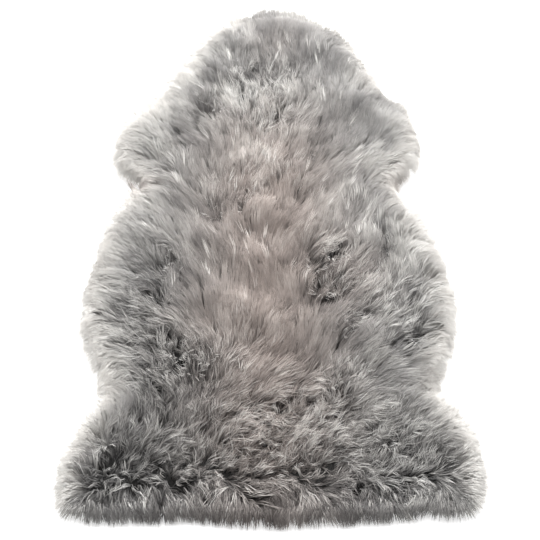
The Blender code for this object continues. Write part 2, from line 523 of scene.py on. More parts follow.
# %% Small gaps
SMALL_GAP_PITCH = 0.026
SMALL_GAP_ROOM = 0.045  # small gaps keep this far from the outline
SMALL_GAP_SIZES = (0.004, 0.009)
SMALL_GAP_DEPTHS = (0.005, 0.012)
SMALL_GAP_SEED = 7


def small_gaps(pitch):
    """Small gaps, scattered where the wool is ruffled: most of them at the rear."""
    draw_gaps = np.random.default_rng(SMALL_GAP_SEED)
    found = []
    for x in np.arange(low[0], high[0], pitch):
        for y in np.arange(low[1], high[1], pitch):
            spot = np.array([[x, y]]) + draw_gaps.uniform(-0.5, 0.5, (1, 2)) * pitch
            room, chance = near_edge(wool_edge, spot)[0][0], draw_gaps.uniform(0.25, 1.0)
            if room > SMALL_GAP_ROOM and ruffled(spot)[0] > chance:
                size, depth = draw_gaps.uniform(*SMALL_GAP_SIZES), draw_gaps.uniform(*SMALL_GAP_DEPTHS)
                found.append(Gap("small", spot[0, 0], spot[0, 1], size, 0.8 * size, depth))
    return tuple(found)


GAPS = NAMED_GAPS + small_gaps(SMALL_GAP_PITCH)
print(len(GAPS), "gaps")

# %% Depth of a gap, and the push away from it
FULL_GAP = 0.012        # a gap of this depth shows the underwool
GAP_PUSH = 0.9          # how strongly the wool turns away from such a gap


def gap_share(spots):
    """1 in the middle of a deep gap, falling off to 0 outside it."""
    return np.clip(sum(row.depth * nearness(spots, row) for row in GAPS) / FULL_GAP, 0.0, 1.0)


def away_from_gaps(spots):
    """A push in the plan, away from the middle of any gap nearby."""
    push = np.zeros_like(spots)
    for row in GAPS:
        offset = (spots - np.array([row.x, row.y])) / np.array([row.across, row.along]) ** 2
        share = nearness(spots, surroundings(row)) * GAP_PUSH * row.depth / FULL_GAP
        push += unit(offset) * share[:, None]
    return push


print("gap shares from 0 to", round(float(gap_share(grid_spots()).max()), 2))

# %% [markdown]
# ## The hide
# The hide is a sheet of suede a little over two millimetres thick. It ends short of the wool's reach, and
# only its underside would ever show. A grid is wrapped round into rings that follow the outline, from the
# middle of the underside out to the edge and back over the top, which gives a closed sheet with its faces
# running neatly round the skin. A plane that a modifier thickens would be quicker, but its rim would be a
# sharp step, where the edge of a tanned skin is softly rounded.

# %% Rings wrapped from a grid
def rings_from_grid(name, rings):
    """A closed body from rings of points: a flat grid is rolled round, laid on the rings and merged."""
    bpy.ops.object.select_all(action="DESELECT")
    count, around = len(rings), len(rings[0])
    bpy.ops.mesh.primitive_grid_add(x_subdivisions=around, y_subdivisions=count - 1, size=1.0)
    piece = bpy.context.object
    piece.name = piece.data.name = name
    wrapped = np.concatenate([rings, rings[:, :1]], axis=1)
    piece.data.vertices.foreach_set("co", wrapped.reshape(-1).astype(np.float32))
    bpy.ops.object.mode_set(mode="EDIT")
    bpy.ops.mesh.select_all(action="SELECT")
    bpy.ops.mesh.remove_doubles(threshold=SAME_PLACE)
    bpy.ops.mesh.select_all(action="DESELECT")
    bpy.ops.mesh.select_non_manifold()
    bpy.ops.mesh.fill_holes(sides=0)
    bpy.ops.mesh.select_all(action="SELECT")
    bpy.ops.mesh.normals_make_consistent(inside=False)
    bpy.ops.object.mode_set(mode="OBJECT")
    bpy.ops.object.shade_smooth()
    return piece

# %% A line inside the outline
INSET_STEPS = 160       # the way in from the edge is searched in this many steps
INSET_BLURS = 3         # and the line is smoothed this often


def inset_line(loop, inset):
    """The closed line that runs a given distance inside the outline, measured straight across."""
    ends = drawn_in(loop, 0.0, 0.02)
    shares = np.linspace(0.0, 1.0, INSET_STEPS)
    spots = loop[:, None] * (1.0 - shares[:, None]) + ends[:, None] * shares[:, None]
    depth = edge_distance(spots.reshape(-1, 2), loop)[0].reshape(len(loop), -1)
    first = (depth >= inset).argmax(axis=1)
    line = spots[np.arange(len(loop)), first]
    for _ in range(INSET_BLURS):
        line = (np.roll(line, 1, axis=0) + 2.0 * line + np.roll(line, -1, axis=0)) / 4.0
    return evenly(line, len(loop))


def plan_area(loop):
    """The area inside a closed plan line."""
    return abs(np.cross(loop, np.roll(loop, -1, axis=0)).sum()) / 2


print("the outline encloses", round(float(plan_area(floor_line)), 4), "m2")

# %% Make the hide
HIDE_INSET = 0.032      # the locks of the rim reach this much further than the hide
HIDE_THICKNESS = 0.0024
HIDE_ROUNDING = 0.0007
HIDE_RINGS = 13
MIDDLE_SIZE = 0.06      # the smallest ring's share of the outline's size; one flat face fills it
hide_line = inset_line(floor_line, HIDE_INSET)


def hide_rings():
    """Rings from the middle of the underside, round the cut edge, to the middle of the upper face."""
    sizes = np.linspace(MIDDLE_SIZE, 1.0, HIDE_RINGS)
    under = [(drawn_in(hide_line, 0.0, size), 0.0) for size in sizes[:-1]]
    edge = [(drawn_in(hide_line, HIDE_ROUNDING), 0.0), (hide_line, HIDE_ROUNDING),
            (hide_line, HIDE_THICKNESS - HIDE_ROUNDING),
            (drawn_in(hide_line, HIDE_ROUNDING), HIDE_THICKNESS)]
    over = [(drawn_in(hide_line, 0.0, size), HIDE_THICKNESS) for size in sizes[-2::-1]]
    rows = [np.column_stack([spots, np.full(len(spots), z)]) for spots, z in under + edge + over]
    return np.array(rows)


hide = rings_from_grid("hide", hide_rings())

# %% [markdown]
# ## The underwool
# Close to the skin the wool is short, crimped and so dense that it looks like one soft mass. It is a
# low mound with a lumpy surface, painted nearly black as painted shade, because little light gets down to
# it, and it fills the view wherever the locks part. It could be made of short strands too, but nobody could
# tell them apart down there, so one shell, in rings like the hide's, is enough.

# %% The underwool's height
MOUND_HEIGHT = 0.020
MOUND_SLOPE = 0.060     # it rises to that height over this distance from its edge
MOUND_INSET = 0.014     # the underwool ends this far inside the solid's underside
MOUND_BASE = HIDE_THICKNESS + 0.0003
MOUND_EDGE = 0.0025     # thickness of the underwool at its edge
LUMPS = ((0.0018, 0.030, 21), (0.0014, 0.016, 22))
mound_line = inset_line(floor_line, MOUND_INSET)
mound_edge = edge_grid(mound_line)


def mound_top(spots):
    """The height of the underwool above each spot: round at the edge, with soft lumps on top."""
    depth, _ = near_edge(mound_edge, spots)
    share = np.clip(depth / MOUND_SLOPE, 0.0, 1.0)
    rise = 1.0 - (1.0 - share) ** 2
    edge_top = MOUND_BASE + MOUND_EDGE
    return edge_top + (MOUND_HEIGHT - edge_top) * rise + layered(spots, LUMPS) * share


print("underwool", mound_top(np.zeros((1, 2))).round(4).tolist(), "m high in the middle")

# %% Make the underwool
SLOPE_RINGS = 14
SLOPE_CROWDING = 1.4    # over 1, the rings lie closer together towards the edge, where it is steepest
TOP_RINGS = 36
TOP_MIDDLE_SIZE = 0.05


def mound_rings():
    """Rings from the middle underneath, out to the edge, and over the lumpy top."""
    rows = [np.column_stack([drawn_in(mound_line, 0.0, size), np.full(len(mound_line), MOUND_BASE)])
            for size in (MIDDLE_SIZE, 0.5, 1.0)]
    insets = MOUND_SLOPE * np.linspace(0.0, 1.0, SLOPE_RINGS) ** SLOPE_CROWDING
    steps = [(inset, 1.0) for inset in insets]
    steps += [(MOUND_SLOPE, size) for size in np.linspace(1.0, TOP_MIDDLE_SIZE, TOP_RINGS)[1:]]
    for inset, size in steps:
        spots = drawn_in(mound_line, inset, size)
        rows.append(np.column_stack([spots, mound_top(spots)]))
    return np.array(rows)


underwool = rings_from_grid("underwool", mound_rings())
print("underwool", len(underwool.data.polygons), "faces")

# %% [markdown]
# ## Roots, wisps, locks and sweeps
# The long wool is made of real strands, because the soft broken edge and the streaks of light on the
# surface come from nothing else. A few strands that share a root make a wisp, a few dozen make a lock, and
# some hundreds make a sweep, which shows as one soft fold laid over its neighbour. The roots are scattered
# evenly and loosened at random, from a fixed seed, so the rug is the same each time. Locks and sweeps are
# small where the wool is ruffled and broad where it is smooth.
#
# In a gap most wisps are left out. Round each listed gap stands a crown: a ring of thin, short wisps that
# fan out of it, as where a coat parts.

# %% Scattered spots, and the middles of sweeps and locks
SWEEP_PITCH = 0.024     # from one sweep to the next where the wool is ruffled
LOCK_PITCH = 0.0120     # from one lock to the next there
THINNING = 0.72         # the share of both that is left out where the wool is smooth
ROW_SHARE = 0.866       # rows of a triangular pattern stand this share of its pitch apart
LOOSENESS = 0.45        # each spot is moved by up to this share of the pitch

draw = np.random.default_rng(2026)


def scatter(pitch, margin=0.0):
    """Spots in a loosened triangular pattern that lie inside the underwool's line."""
    rows = int((high[1] - low[1]) / (pitch * ROW_SHARE)) + 2
    columns = int((high[0] - low[0]) / pitch) + 2
    j, i = np.meshgrid(np.arange(rows), np.arange(columns), indexing="ij")
    x, y = low[0] + (i + 0.5 * (j % 2)) * pitch, low[1] + j * pitch * ROW_SHARE
    spots = np.stack([x, y], axis=-1).reshape(-1, 2)
    spots = spots + draw.uniform(-LOOSENESS, LOOSENESS, spots.shape) * pitch
    depth, _ = near_edge(mound_edge, spots)
    return spots[depth > margin]


def clump_middles(pitch):
    """The middles of locks or sweeps, thinned out at random where the wool is smooth."""
    spots = scatter(pitch, -0.4 * pitch)
    return spots[draw.uniform(0.0, 1.0, len(spots)) > THINNING * (1.0 - ruffled(spots))]


sweeps = clump_middles(SWEEP_PITCH)
locks = clump_middles(LOCK_PITCH)
print(len(sweeps), "sweeps,", len(locks), "locks")

# %% Wisps
WISP_PITCH = 0.0035     # from one wisp to the next
REACH = 0.050           # how far a tip lies from its root, seen from above
GAP_BARENESS = 0.80     # the share of the wisps that is missing in the middle of a gap
EDGE_BAND = 0.020       # towards the rim the wool fans out and hangs down, so more wisps grow there

wisps = scatter(WISP_PITCH)
fringe = scatter(WISP_PITCH)
fringe = fringe[near_edge(mound_edge, fringe)[0] < EDGE_BAND]
wisps = np.vstack([wisps, fringe])
bare = np.maximum(gap_share(wisps), gap_share(wisps + 0.5 * REACH * unit(lie(wisps))))
wisps = wisps[draw.uniform(0.0, 1.0, len(wisps)) > GAP_BARENESS * bare]
print(len(wisps), "wisps")

# %% Crowns round the listed gaps
CROWN_WISPS = 14        # thin wisps that fan out of a gap of ordinary size
SEAM_WISPS = 5          # and of one in the rear seam, where the wool parts anyway
ORDINARY_GAP = 0.020    # width and length of such a gap, added up
CROWN_REACH = 0.019


def crown_wisps():
    """Roots, directions and reaches of the thin wisps that fan out of the named gaps."""
    spots, ways, reaches = [], [], []
    for row in NAMED_GAPS:
        size = np.array([row.across, row.along])
        full = SEAM_WISPS if row.place.startswith("rear seam") else CROWN_WISPS
        count = round(full * size.sum() / ORDINARY_GAP)
        turn = 2 * math.pi * (np.arange(count) + draw.uniform(-0.3, 0.3, count)) / count
        around = np.stack([np.cos(turn), np.sin(turn)], axis=1)
        spots.append(np.array([row.x, row.y]) + around * size * draw.uniform(0.25, 0.55, (count, 1)))
        ways.append(unit(around * size))
        reaches.append(CROWN_REACH * math.sqrt(size.sum() / ORDINARY_GAP) * draw.uniform(0.7, 1.3, count))
    return np.vstack(spots), np.vstack(ways), np.concatenate(reaches)


crown, crown_way, crown_reach = crown_wisps()
wisp_crown = np.arange(len(wisps) + len(crown)) >= len(wisps)
wisps = np.vstack([wisps, crown])
print(len(crown), "of", len(wisps), "wisps stand in crowns")

# %% [markdown]
# ## Which wisps belong together
# A wisp joins the lock, and the sweep, whose middle is nearest, where distance along the wool counts for
# less than distance across it. Its place in them, left or right, front or back, later decides how high it
# lies and how it is lit. Where wool that leans one way meets wool that leans the other way, neither lies
# down, and the wisps there stand upright.

# %% Gather the wisps into locks and sweeps
CLUMP_LENGTH = 1.6      # how much longer than wide a lock or a sweep is
CLUMP_LIMIT = 1.3       # a wisp at the far edge of its clump counts as at most this far out
UPRIGHT = (0.10, 0.65)  # a wisp stands up where the lie is shorter than the first, and leans past the second


def clump_of(spots, ways, middles, pitch, mess, chunk=3000):
    """The clump of each spot, and where in it the spot lies: -1 to 1 to the left, and to the front."""
    found = np.empty(len(spots), int)
    aside, ahead = np.empty(len(spots)), np.empty(len(spots))
    for first in range(0, len(spots), chunk):
        part, way = spots[first:first + chunk], ways[first:first + chunk]
        offset = part[:, None] - middles[None]
        along = (offset * way[:, None]).sum(axis=2)
        across = way[:, None, 0] * offset[..., 1] - way[:, None, 1] * offset[..., 0]
        pick = ((along / CLUMP_LENGTH) ** 2 + across ** 2).argmin(axis=1)
        rows = np.arange(len(part))
        found[first:first + chunk] = pick
        aside[first:first + chunk], ahead[first:first + chunk] = across[rows, pick], along[rows, pick]
    half = 0.5 * pitch * (1.0 + (1.0 / math.sqrt(1.0 - THINNING) - 1.0) * (1.0 - mess))
    aside, ahead = aside / half, ahead / (half * CLUMP_LENGTH)
    limits = -CLUMP_LIMIT, CLUMP_LIMIT
    return found, np.clip(aside, *limits), np.clip(ahead, *limits), half


wisp_mess = np.where(wisp_crown, 1.0, ruffled(wisps))
wisp_way = lie(wisps)
wisp_upright = 1.0 - smooth_step(np.linalg.norm(wisp_way, axis=1), *UPRIGHT)
wisp_way = unit(wisp_way)
wisp_gap = np.where(wisp_crown, 0.0, gap_share(wisps + wisp_way * 0.8 * REACH))
wisp_lock, lock_aside, lock_ahead, lock_half = clump_of(wisps, wisp_way, locks, LOCK_PITCH, wisp_mess)
wisp_sweep, sweep_aside, sweep_ahead, sweep_half = clump_of(wisps, wisp_way, sweeps, SWEEP_PITCH, wisp_mess)
print(round(len(wisps) / len(locks)), "wisps to a lock,", round(len(wisps) / len(sweeps)), "to a sweep")

# %% [markdown]
# ## Streaks, highlight wisps and fillers
# A coat has long streaks along its lie, where a row of locks stands a little higher or paler than the next.
# A pattern stretched in one direction would cut across the wool wherever the lie turns, so an even pattern
# is averaged along a walk against the lie instead, and comes out drawn along it. Highlight wisps are painted
# pale, a painted highlight where wool catches the light, and fillers lie under the rest; both are picked by
# chance. The highlight wisps keep to the streaks and to a few listed places, where the coat stands out into
# the light.

# %% Streaks drawn out along the wool
STREAK_STEP = 0.009     # one step of the walk
STREAK_STEPS = 6
# Three kinds: how wide the streaks are, and the seed of their pattern.
STREAK, BROAD_STREAK, FINE_STREAK = (0.018, 41), (0.060, 42), (0.0085, 43)


def walked_back(spots):
    """The spots, and where a walk against the lie of the wool leads from them, step by step."""
    path = [spots]
    for _ in range(STREAK_STEPS - 1):
        path.append(path[-1] - unit(lie(path[-1])) * STREAK_STEP)
    return path


def streaks(path, width, seed):
    """An unevenness drawn out along the lie of the wool, about -1 to 1: long streaks of a given width."""
    return sum(soft_noise(spots, width, seed) for spots in path) / math.sqrt(len(path))


wisp_path = walked_back(wisps)
wisp_streak = streaks(wisp_path, *STREAK)
wisp_band = streaks(wisp_path, *BROAD_STREAK)
wisp_thread = streaks(wisp_path, *FINE_STREAK)
print("streaks from", round(float(wisp_streak.min()), 2), "to", round(float(wisp_streak.max()), 2))

# %% Highlight wisps, painted pale as painted highlights, are common in these places: neck, withers, both sides and the rear.
# Bleached wisps are common in these places: neck, withers, both sides and the rear.
Highlight = namedtuple("Highlight", "place x y across along share")
HIGHLIGHT_PLACES = listed(Highlight, (
    ("neck, left", -50, 290, 40, 35, 3.0),
    ("neck", -10, 320, 70, 60, 0.7),
    ("withers", -10, 180, 80, 70, 1.0),
    ("left side", -175, 50, 40, 60, 1.6),
    ("right side", 160, 20, 70, 80, 1.4),
    ("right shoulder", 160, 130, 35, 30, 0.7),
    ("ribs", -60, -70, 60, 60, 0.4),
    ("right belly", 180, -130, 50, 60, 1.2),
    ("left belly", -240, -180, 30, 90, 0.8),
    ("rear", -70, -450, 120, 30, 1.6),
))
FLAME_CHANCE = 0.065    # the share of highlight wisps in an ordinary listed place
UNLISTED = 0.05         # anywhere else there are only this many of them, in comparison
OFF_STREAK, ON_STREAK = 0.15, 3.2   # beside a streak and on top of it the chance changes by these factors
HIGHLIGHT_STREAK = (0.35, 1.1)       # where a streak starts and is complete, for that
FILLERS = 0.28          # the share of the wisps that fill in under the rest,
FEWER_FILLERS = 0.4     # smaller by this share where the wool is ruffled

highlighted = UNLISTED + sum(row.share * nearness(wisps, row) for row in HIGHLIGHT_PLACES)
by_streak = OFF_STREAK + ON_STREAK * smooth_step(wisp_streak, *HIGHLIGHT_STREAK)
flame_chance = FLAME_CHANCE * highlighted * by_streak
wisp_flames = draw.uniform(0.0, 1.0, len(wisps)) < flame_chance
wisp_fills = draw.uniform(0.0, 1.0, len(wisps)) < FILLERS * (1.0 - FEWER_FILLERS * wisp_mess)
wisp_flames, wisp_fills = wisp_flames & ~wisp_crown, wisp_fills & ~wisp_flames & ~wisp_crown
print(int(wisp_flames.sum()), "bleached wisps,", int(wisp_fills.sum()), "fillers")

# %% [markdown]
# ## Growing the strands
# A strand starts in the underwool, rises, and leans over along the lie of the wool until its tip lies on
# the top of the coat, or a little under it. Strands of a wisp draw together towards the tip, a little
# where the wool is smooth, and into a thin spike where it is ruffled. Every fourth wisp or so is a filler:
# it keeps to the lie, a few millimetres down, so that no bare gap opens between two sweeps. A hair system
# could grow strands too, but then each tip would lie where the system puts it. Here the combing decides,
# so each strand's line is worked out from its root, its direction, its reach and the height of the coat.

# %% The direction of each wisp, at its root and at its tip
# How far wisps turn aside from the lie, in radians: everywhere, and in addition where they are ruffled.
WISP_TURN, RUFFLED_TURN = 0.03, 0.32
WISP_CURL, RUFFLED_CURL = 0.08, 0.50    # and how far they curl
UPRIGHT_TURN = 0.60     # upright wisps turn aside by this much in addition
SWEEP_TURN = (0.15, 0.32)   # whole sweeps turn by this much where they are smooth, and where ruffled
LOCK_TURN = (0.08, 0.28)    # and whole locks by this much
FILLER_TURN, CROWN_TURN = 0.5, 0.25     # fillers and crown wisps turn by these shares of all that
GAP_CALM, GAP_CURL_CALM = 0.5, 0.3      # wisps that point into a gap turn and curl less by these shares
CROWN_BEND = 0.5        # how strongly crown wisps bend back into the lie
ROOT_CURL, TIP_CURL = 0.4, 0.6          # the curl is shared out between root and tip


def wisp_ways():
    """The plan direction of every wisp at its root and at its tip."""
    clumps = [(sweeps, wisp_sweep, SWEEP_TURN), (locks, wisp_lock, LOCK_TURN)]
    spread = WISP_TURN + RUFFLED_TURN * wisp_mess + UPRIGHT_TURN * wisp_upright
    turn = draw.normal(0.0, 1.0, len(wisps)) * spread
    for middles, member, (smooth, rough) in clumps:
        spread = smooth + (rough - smooth) * ruffled(middles)
        turn = turn + (draw.normal(0.0, 1.0, len(middles)) * spread)[member]
    turn = turn * np.where(wisp_fills, FILLER_TURN, 1.0)
    turn = turn * (1.0 - GAP_CALM * wisp_gap) * np.where(wisp_crown, CROWN_TURN, 1.0)
    spread = WISP_CURL + RUFFLED_CURL * wisp_mess
    curl = draw.normal(0.0, 1.0, len(wisps)) * spread * (1.0 - GAP_CURL_CALM * wisp_gap)
    near = unit(wisp_way + away_from_gaps(wisps))
    far = unit(unit(lie(wisps + near * 0.6 * REACH)) + away_from_gaps(wisps))
    near[wisp_crown], far[wisp_crown] = crown_way, unit(crown_way + CROWN_BEND * far[wisp_crown])
    return turned(near, turn - ROOT_CURL * curl), turned(far, turn + TIP_CURL * curl)


wisp_near, wisp_far = wisp_ways()
apart = np.degrees(np.arccos(np.clip((wisp_near * wisp_far).sum(axis=1), -1.0, 1.0)))
print("from root to tip a wisp turns", round(float(apart.mean()), 1), "degrees on average")

# %% The strands of each wisp
STRANDS_IN_WISP = 6
WISP_RADIUS = 0.0024    # the roots of a wisp's strands lie this far apart
ACROSS_GAPS = 0.16      # the share of the wisps that reaches over a gap instead of ending low in it
# How far strands turn from their wisp, in radians: everywhere, where ruffled in addition, and at the tip.
STRAND_TURN, RUFFLED_STRAND_TURN, TIP_TURN = 0.05, 0.08, 0.06
RIM_ROOTS = (0.030, 0.075)  # a root nearer the outline than the first is at the rim, past the second inland

wisp_crosses = draw.uniform(0.0, 1.0, len(wisps)) < ACROSS_GAPS
strand_wisp = np.repeat(np.arange(len(wisps)), STRANDS_IN_WISP)
strand_mess = wisp_mess[strand_wisp]
strand_turn = draw.normal(0.0, 1.0, len(strand_wisp)) * (STRAND_TURN + RUFFLED_STRAND_TURN * strand_mess)
strand_near = turned(wisp_near[strand_wisp], strand_turn)
strand_far = turned(wisp_far[strand_wisp], strand_turn + draw.normal(0.0, TIP_TURN, len(strand_wisp)))
strand_root = wisps[strand_wisp] + draw.normal(0.0, 0.5, (len(strand_wisp), 2)) * WISP_RADIUS
strand_room, strand_out = near_edge(wool_edge, strand_root)
strand_rear = rear_edge(strand_root, strand_out)
strand_rim = 1.0 - smooth_step(strand_room, *RIM_ROOTS)
print(len(strand_wisp), "strands, of which", int((strand_mess > 0.7).sum()), "are ruffled")

# %% [markdown]
# ## How far the strands reach
# At the rim the strands end at the outline, some short of it and some past it, which makes the edge soft.
# The wool is a little longer round the neck. Cutting the mesh off along a line would leave blunt ends, so a
# strand is made shorter instead: its tip is tried, measured against the outline, and drawn back, three
# times over. Small listed trims take off, or leave on, a few millimetres, as the real edge isn't even.

# %% Full reach, before the rim is trimmed
# Reaches differ by these factors, from lock to lock, wisp to wisp and strand to strand.
LOCK_LENGTHS, WISP_LENGTHS, STRAND_LENGTHS = (0.85, 1.12), (0.86, 1.12), (0.72, 1.08)
RUFFLED_SHORTER = (0.05, 0.60)      # ruffled wisps are shorter by shares between these,
LOCK_SIDE_SHORTER, SWEEP_SIDE_SHORTER = 0.22, 0.12      # those at a side are shorter by these shares,
UPRIGHT_SHORTER, GAP_SHORTER = 0.65, 0.45   # and upright ones and those that point into a gap by these
FILLER_LENGTH, FLAME_LENGTH = 0.85, 1.12    # fillers and highlight wisps differ by these factors
RIM_LONGER = 0.30       # strands with a root at the rim are longer by this share, before the trim


def full_reaches():
    """How far the tip of every strand lies from its root, seen from above, before the rim is trimmed."""
    reach = REACH * draw.uniform(*LOCK_LENGTHS, len(locks))[wisp_lock]
    reach = reach * (1.0 - wisp_mess * draw.uniform(*RUFFLED_SHORTER, len(wisps)))
    reach = reach * (1.0 - LOCK_SIDE_SHORTER * lock_aside ** 2 - SWEEP_SIDE_SHORTER * sweep_aside ** 2)
    reach = reach * np.where(wisp_fills, FILLER_LENGTH, 1.0) * (1.0 - UPRIGHT_SHORTER * wisp_upright)
    reach = reach * np.where(wisp_flames, FLAME_LENGTH, 1.0) * (1.0 - GAP_SHORTER * wisp_gap)
    reach[wisp_crown] = crown_reach
    reach = reach * draw.uniform(*WISP_LENGTHS, len(wisps))
    reach = reach[strand_wisp] * draw.uniform(*STRAND_LENGTHS, len(strand_wisp))
    return reach * (1.0 + RIM_LONGER * strand_rim)


strand_reach = full_reaches()
print("mean reach", round(float(strand_reach.mean()), 4), "m, before the trim")

# %% Trims
# Here the wool is clipped back from its line, or, with a negative amount, left longer.
# Each trim: where it is, how wide and long, and how much comes off, all in millimetres.
Trim = namedtuple("Trim", "place x y across along amount")
TRIMS = listed(Trim, (
    ("neck, top", -10, 510, 50, 25, 5),
    ("neck, top right", 95, 476, 30, 30, 22),
    ("neck, right", 132, 436, 22, 30, 12),
    ("neck, left", -150, 350, 30, 50, -16),
    ("right shoulder", 203, 302, 30, 30, 24),
    ("behind the left foreleg", -244, 95, 26, 22, 16),
    ("behind the right foreleg", 236, 98, 22, 22, 14),
    ("right hip", 285, -310, 24, 30, 9),
    ("left hip", -300, -350, 24, 26, 10),
    ("rear corner, left", -312, -490, 20, 20, -22),
    ("rear edge", -100, -500, 180, 30, 4),
    ("rear edge, left", -161, -495, 14, 20, -6),
    ("rear edge, right", 225, -495, 36, 25, 9),
    ("rear corner, right", 306, -488, 20, 20, -18),
), lengths=5)
print(len(TRIMS), "trims")

# %% Trim the rim
OVERHANG = 0.002        # how far the rim's tips pass the wool's line
OVERHANG_AT_NECK = 0.016
SHORTER_AT_REAR = 0.003
REAR_INSIDE = (0.004, 0.024)    # at the rear the wool behind the fringe ends this far short of the fringe's,
REAR_FRINGE = (0.042, 0.060)    # where its roots are further in than this
EDGE_LOOSENESS = 0.005  # the rim's tips end unevenly by about this much:
STRAND_UNEVEN, WISP_UNEVEN, NECK_UNEVEN = 0.9, 0.6, 0.9     # strands, wisps, wisps at the neck in addition
SHORTEST, LONGEST = -3.0, 1.7   # but by no more than these multiples of it
SHORTEST_REACH = 0.008
TRIM_ROUNDS = 3


def neck_edge(out):
    """1 where the nearest edge is the one at the neck, at the far end, and 0 elsewhere."""
    return smooth_step(out[:, 1], 0.2, 0.8)


def allowed_overhang():
    """How far past the wool's line the tip of every strand may lie."""
    count = len(strand_wisp)
    neck = neck_edge(strand_out)
    overhang = OVERHANG + OVERHANG_AT_NECK * neck - SHORTER_AT_REAR * strand_rear
    inside = draw.uniform(*REAR_INSIDE, count) * strand_rear * smooth_step(strand_room, *REAR_FRINGE)
    nearest = strand_root + strand_out * strand_room[:, None]
    for row in TRIMS:
        overhang = overhang - row.amount * nearness(nearest, row)
    uneven = STRAND_UNEVEN * draw.normal(0.0, 1.0, count)
    uneven = uneven + (WISP_UNEVEN + NECK_UNEVEN * neck) * draw.normal(0.0, 1.0, len(wisps))[strand_wisp]
    return overhang - inside + EDGE_LOOSENESS * np.clip(uneven, SHORTEST, LONGEST)


def trimmed(reach, allowed):
    """The reaches, shortened at the rim until no tip passes what is allowed."""
    rim = np.flatnonzero(strand_rim > 0.0)
    ways = (strand_near[rim] + strand_far[rim]) / 2
    for _ in range(TRIM_ROUNDS):
        room, out = near_edge(wool_edge, strand_root[rim] + ways * reach[rim, None])
        outwards = np.maximum((ways * out).sum(axis=1), 0.5)
        shorter = np.minimum(room + allowed[rim], 0.0) / outwards
        reach[rim] = np.maximum(reach[rim] + shorter, SHORTEST_REACH)
    return reach


strand_reach = trimmed(strand_reach, allowed_overhang())
print("mean reach", round(float(strand_reach.mean()), 4), "m, after it")

# %% [markdown]
# ## The top of the coat, and the bend of the strands
# The solid's top says how deep the wool is, and soft swells on it keep the back from looking like a plastic
# cushion. Every tip is given its height first: wisps at the side or the back of a clump lie deeper, those
# at its front higher, and a wisp in a gap deepest. The strand then bends from its root up to that height and
# along it. A simulation of combed hair could find such a rest too, but it would take long and could not be
# steered from one lock to the next.

# %% The top of the coat
SWELL = 0.0032          # soft swells stand this much over and under the solid's top
SWELL_LAYERS = ((1.0, 0.085, 23), (0.4, 0.040, 24))
FULL_WOOL = 0.040       # the swells fade out where the wool is lower than this


def coat_top(spots):
    """The height that the highest tips reach above each spot: the solid's top with soft swells."""
    top = wool_top(spots)
    return top + SWELL * layered(spots, SWELL_LAYERS) * np.clip(top / FULL_WOOL, 0.0, 1.0)


print("the coat is", coat_top(np.zeros((1, 2))).round(4).tolist(), "m high in the middle")

# %% How wisps draw together
LOCK_PINCH = (0.04, 0.16)   # wisps move this share of the way to the middle line of their lock
RUFFLED_PINCH = 0.40        # and this share in addition where they are ruffled
SWEEP_PINCH, RUFFLED_SWEEP_PINCH = 0.05, 0.22   # and this far to the middle line of their sweep
FRONT_PINCH, RUFFLED_FRONT_PINCH = 0.08, 0.10   # and lengthways, to the middle of both


def pinches():
    """How each wisp's tip moves in the plan to join its lock and its sweep."""
    near_left = np.stack([-wisp_near[:, 1], wisp_near[:, 0]], axis=1)
    lock_pinch = draw.uniform(*LOCK_PINCH, len(locks))[wisp_lock] + RUFFLED_PINCH * wisp_mess
    sweep_pinch = SWEEP_PINCH + RUFFLED_SWEEP_PINCH * wisp_mess
    across = lock_pinch * lock_aside * lock_half + sweep_pinch * sweep_aside * sweep_half
    along = FRONT_PINCH + RUFFLED_FRONT_PINCH * wisp_mess
    along = along * (lock_ahead * lock_half + sweep_ahead * sweep_half)
    joined = across[:, None] * near_left + along[:, None] * wisp_near
    return -joined * np.where(wisp_fills | wisp_crown, 0.0, 1.0)[:, None]


print("a lock is", round(float(2000 * lock_half.mean())), "mm wide on average")

# %% How deep each wisp's tip lies
# A tip lies deeper than the coat's top by up to this many metres,
SWEEP_TIER, LOCK_TIER = 0.004, 0.0015       # because its sweep or its lock lies under its neighbours,
SWEEP_SIDE, LOCK_SIDE = 0.0024, 0.0012      # because it is at the side of its sweep or its lock,
SWEEP_FRONT, LOCK_FRONT = 0.0034, 0.0010    # because it is at their back, or higher at their front,
LOOSE_DEPTH = 0.012     # because it is ruffled,
TROUGH_FROM, TROUGH_DEPTH = 0.3, 0.0012     # because it is in the trough between two streaks,
FILLER_DEPTH = (0.002, 0.006)               # because it is a filler,
SINGLE_DEPTH = 0.0022   # by chance,
CROWN_DEPTH = 0.005     # because it stands in a crown,
GAP_DEPTH = 0.018       # or in the middle of a gap.
FLAME_SINK = 0.2        # Highlight wisps lie on top: only this share of the depth is left for them,
CROSSING_SINK = 0.15    # and only this share of a gap's for the wisps that cross it.
LIFT = 0.003            # the highest tips stand this much above the coat's top


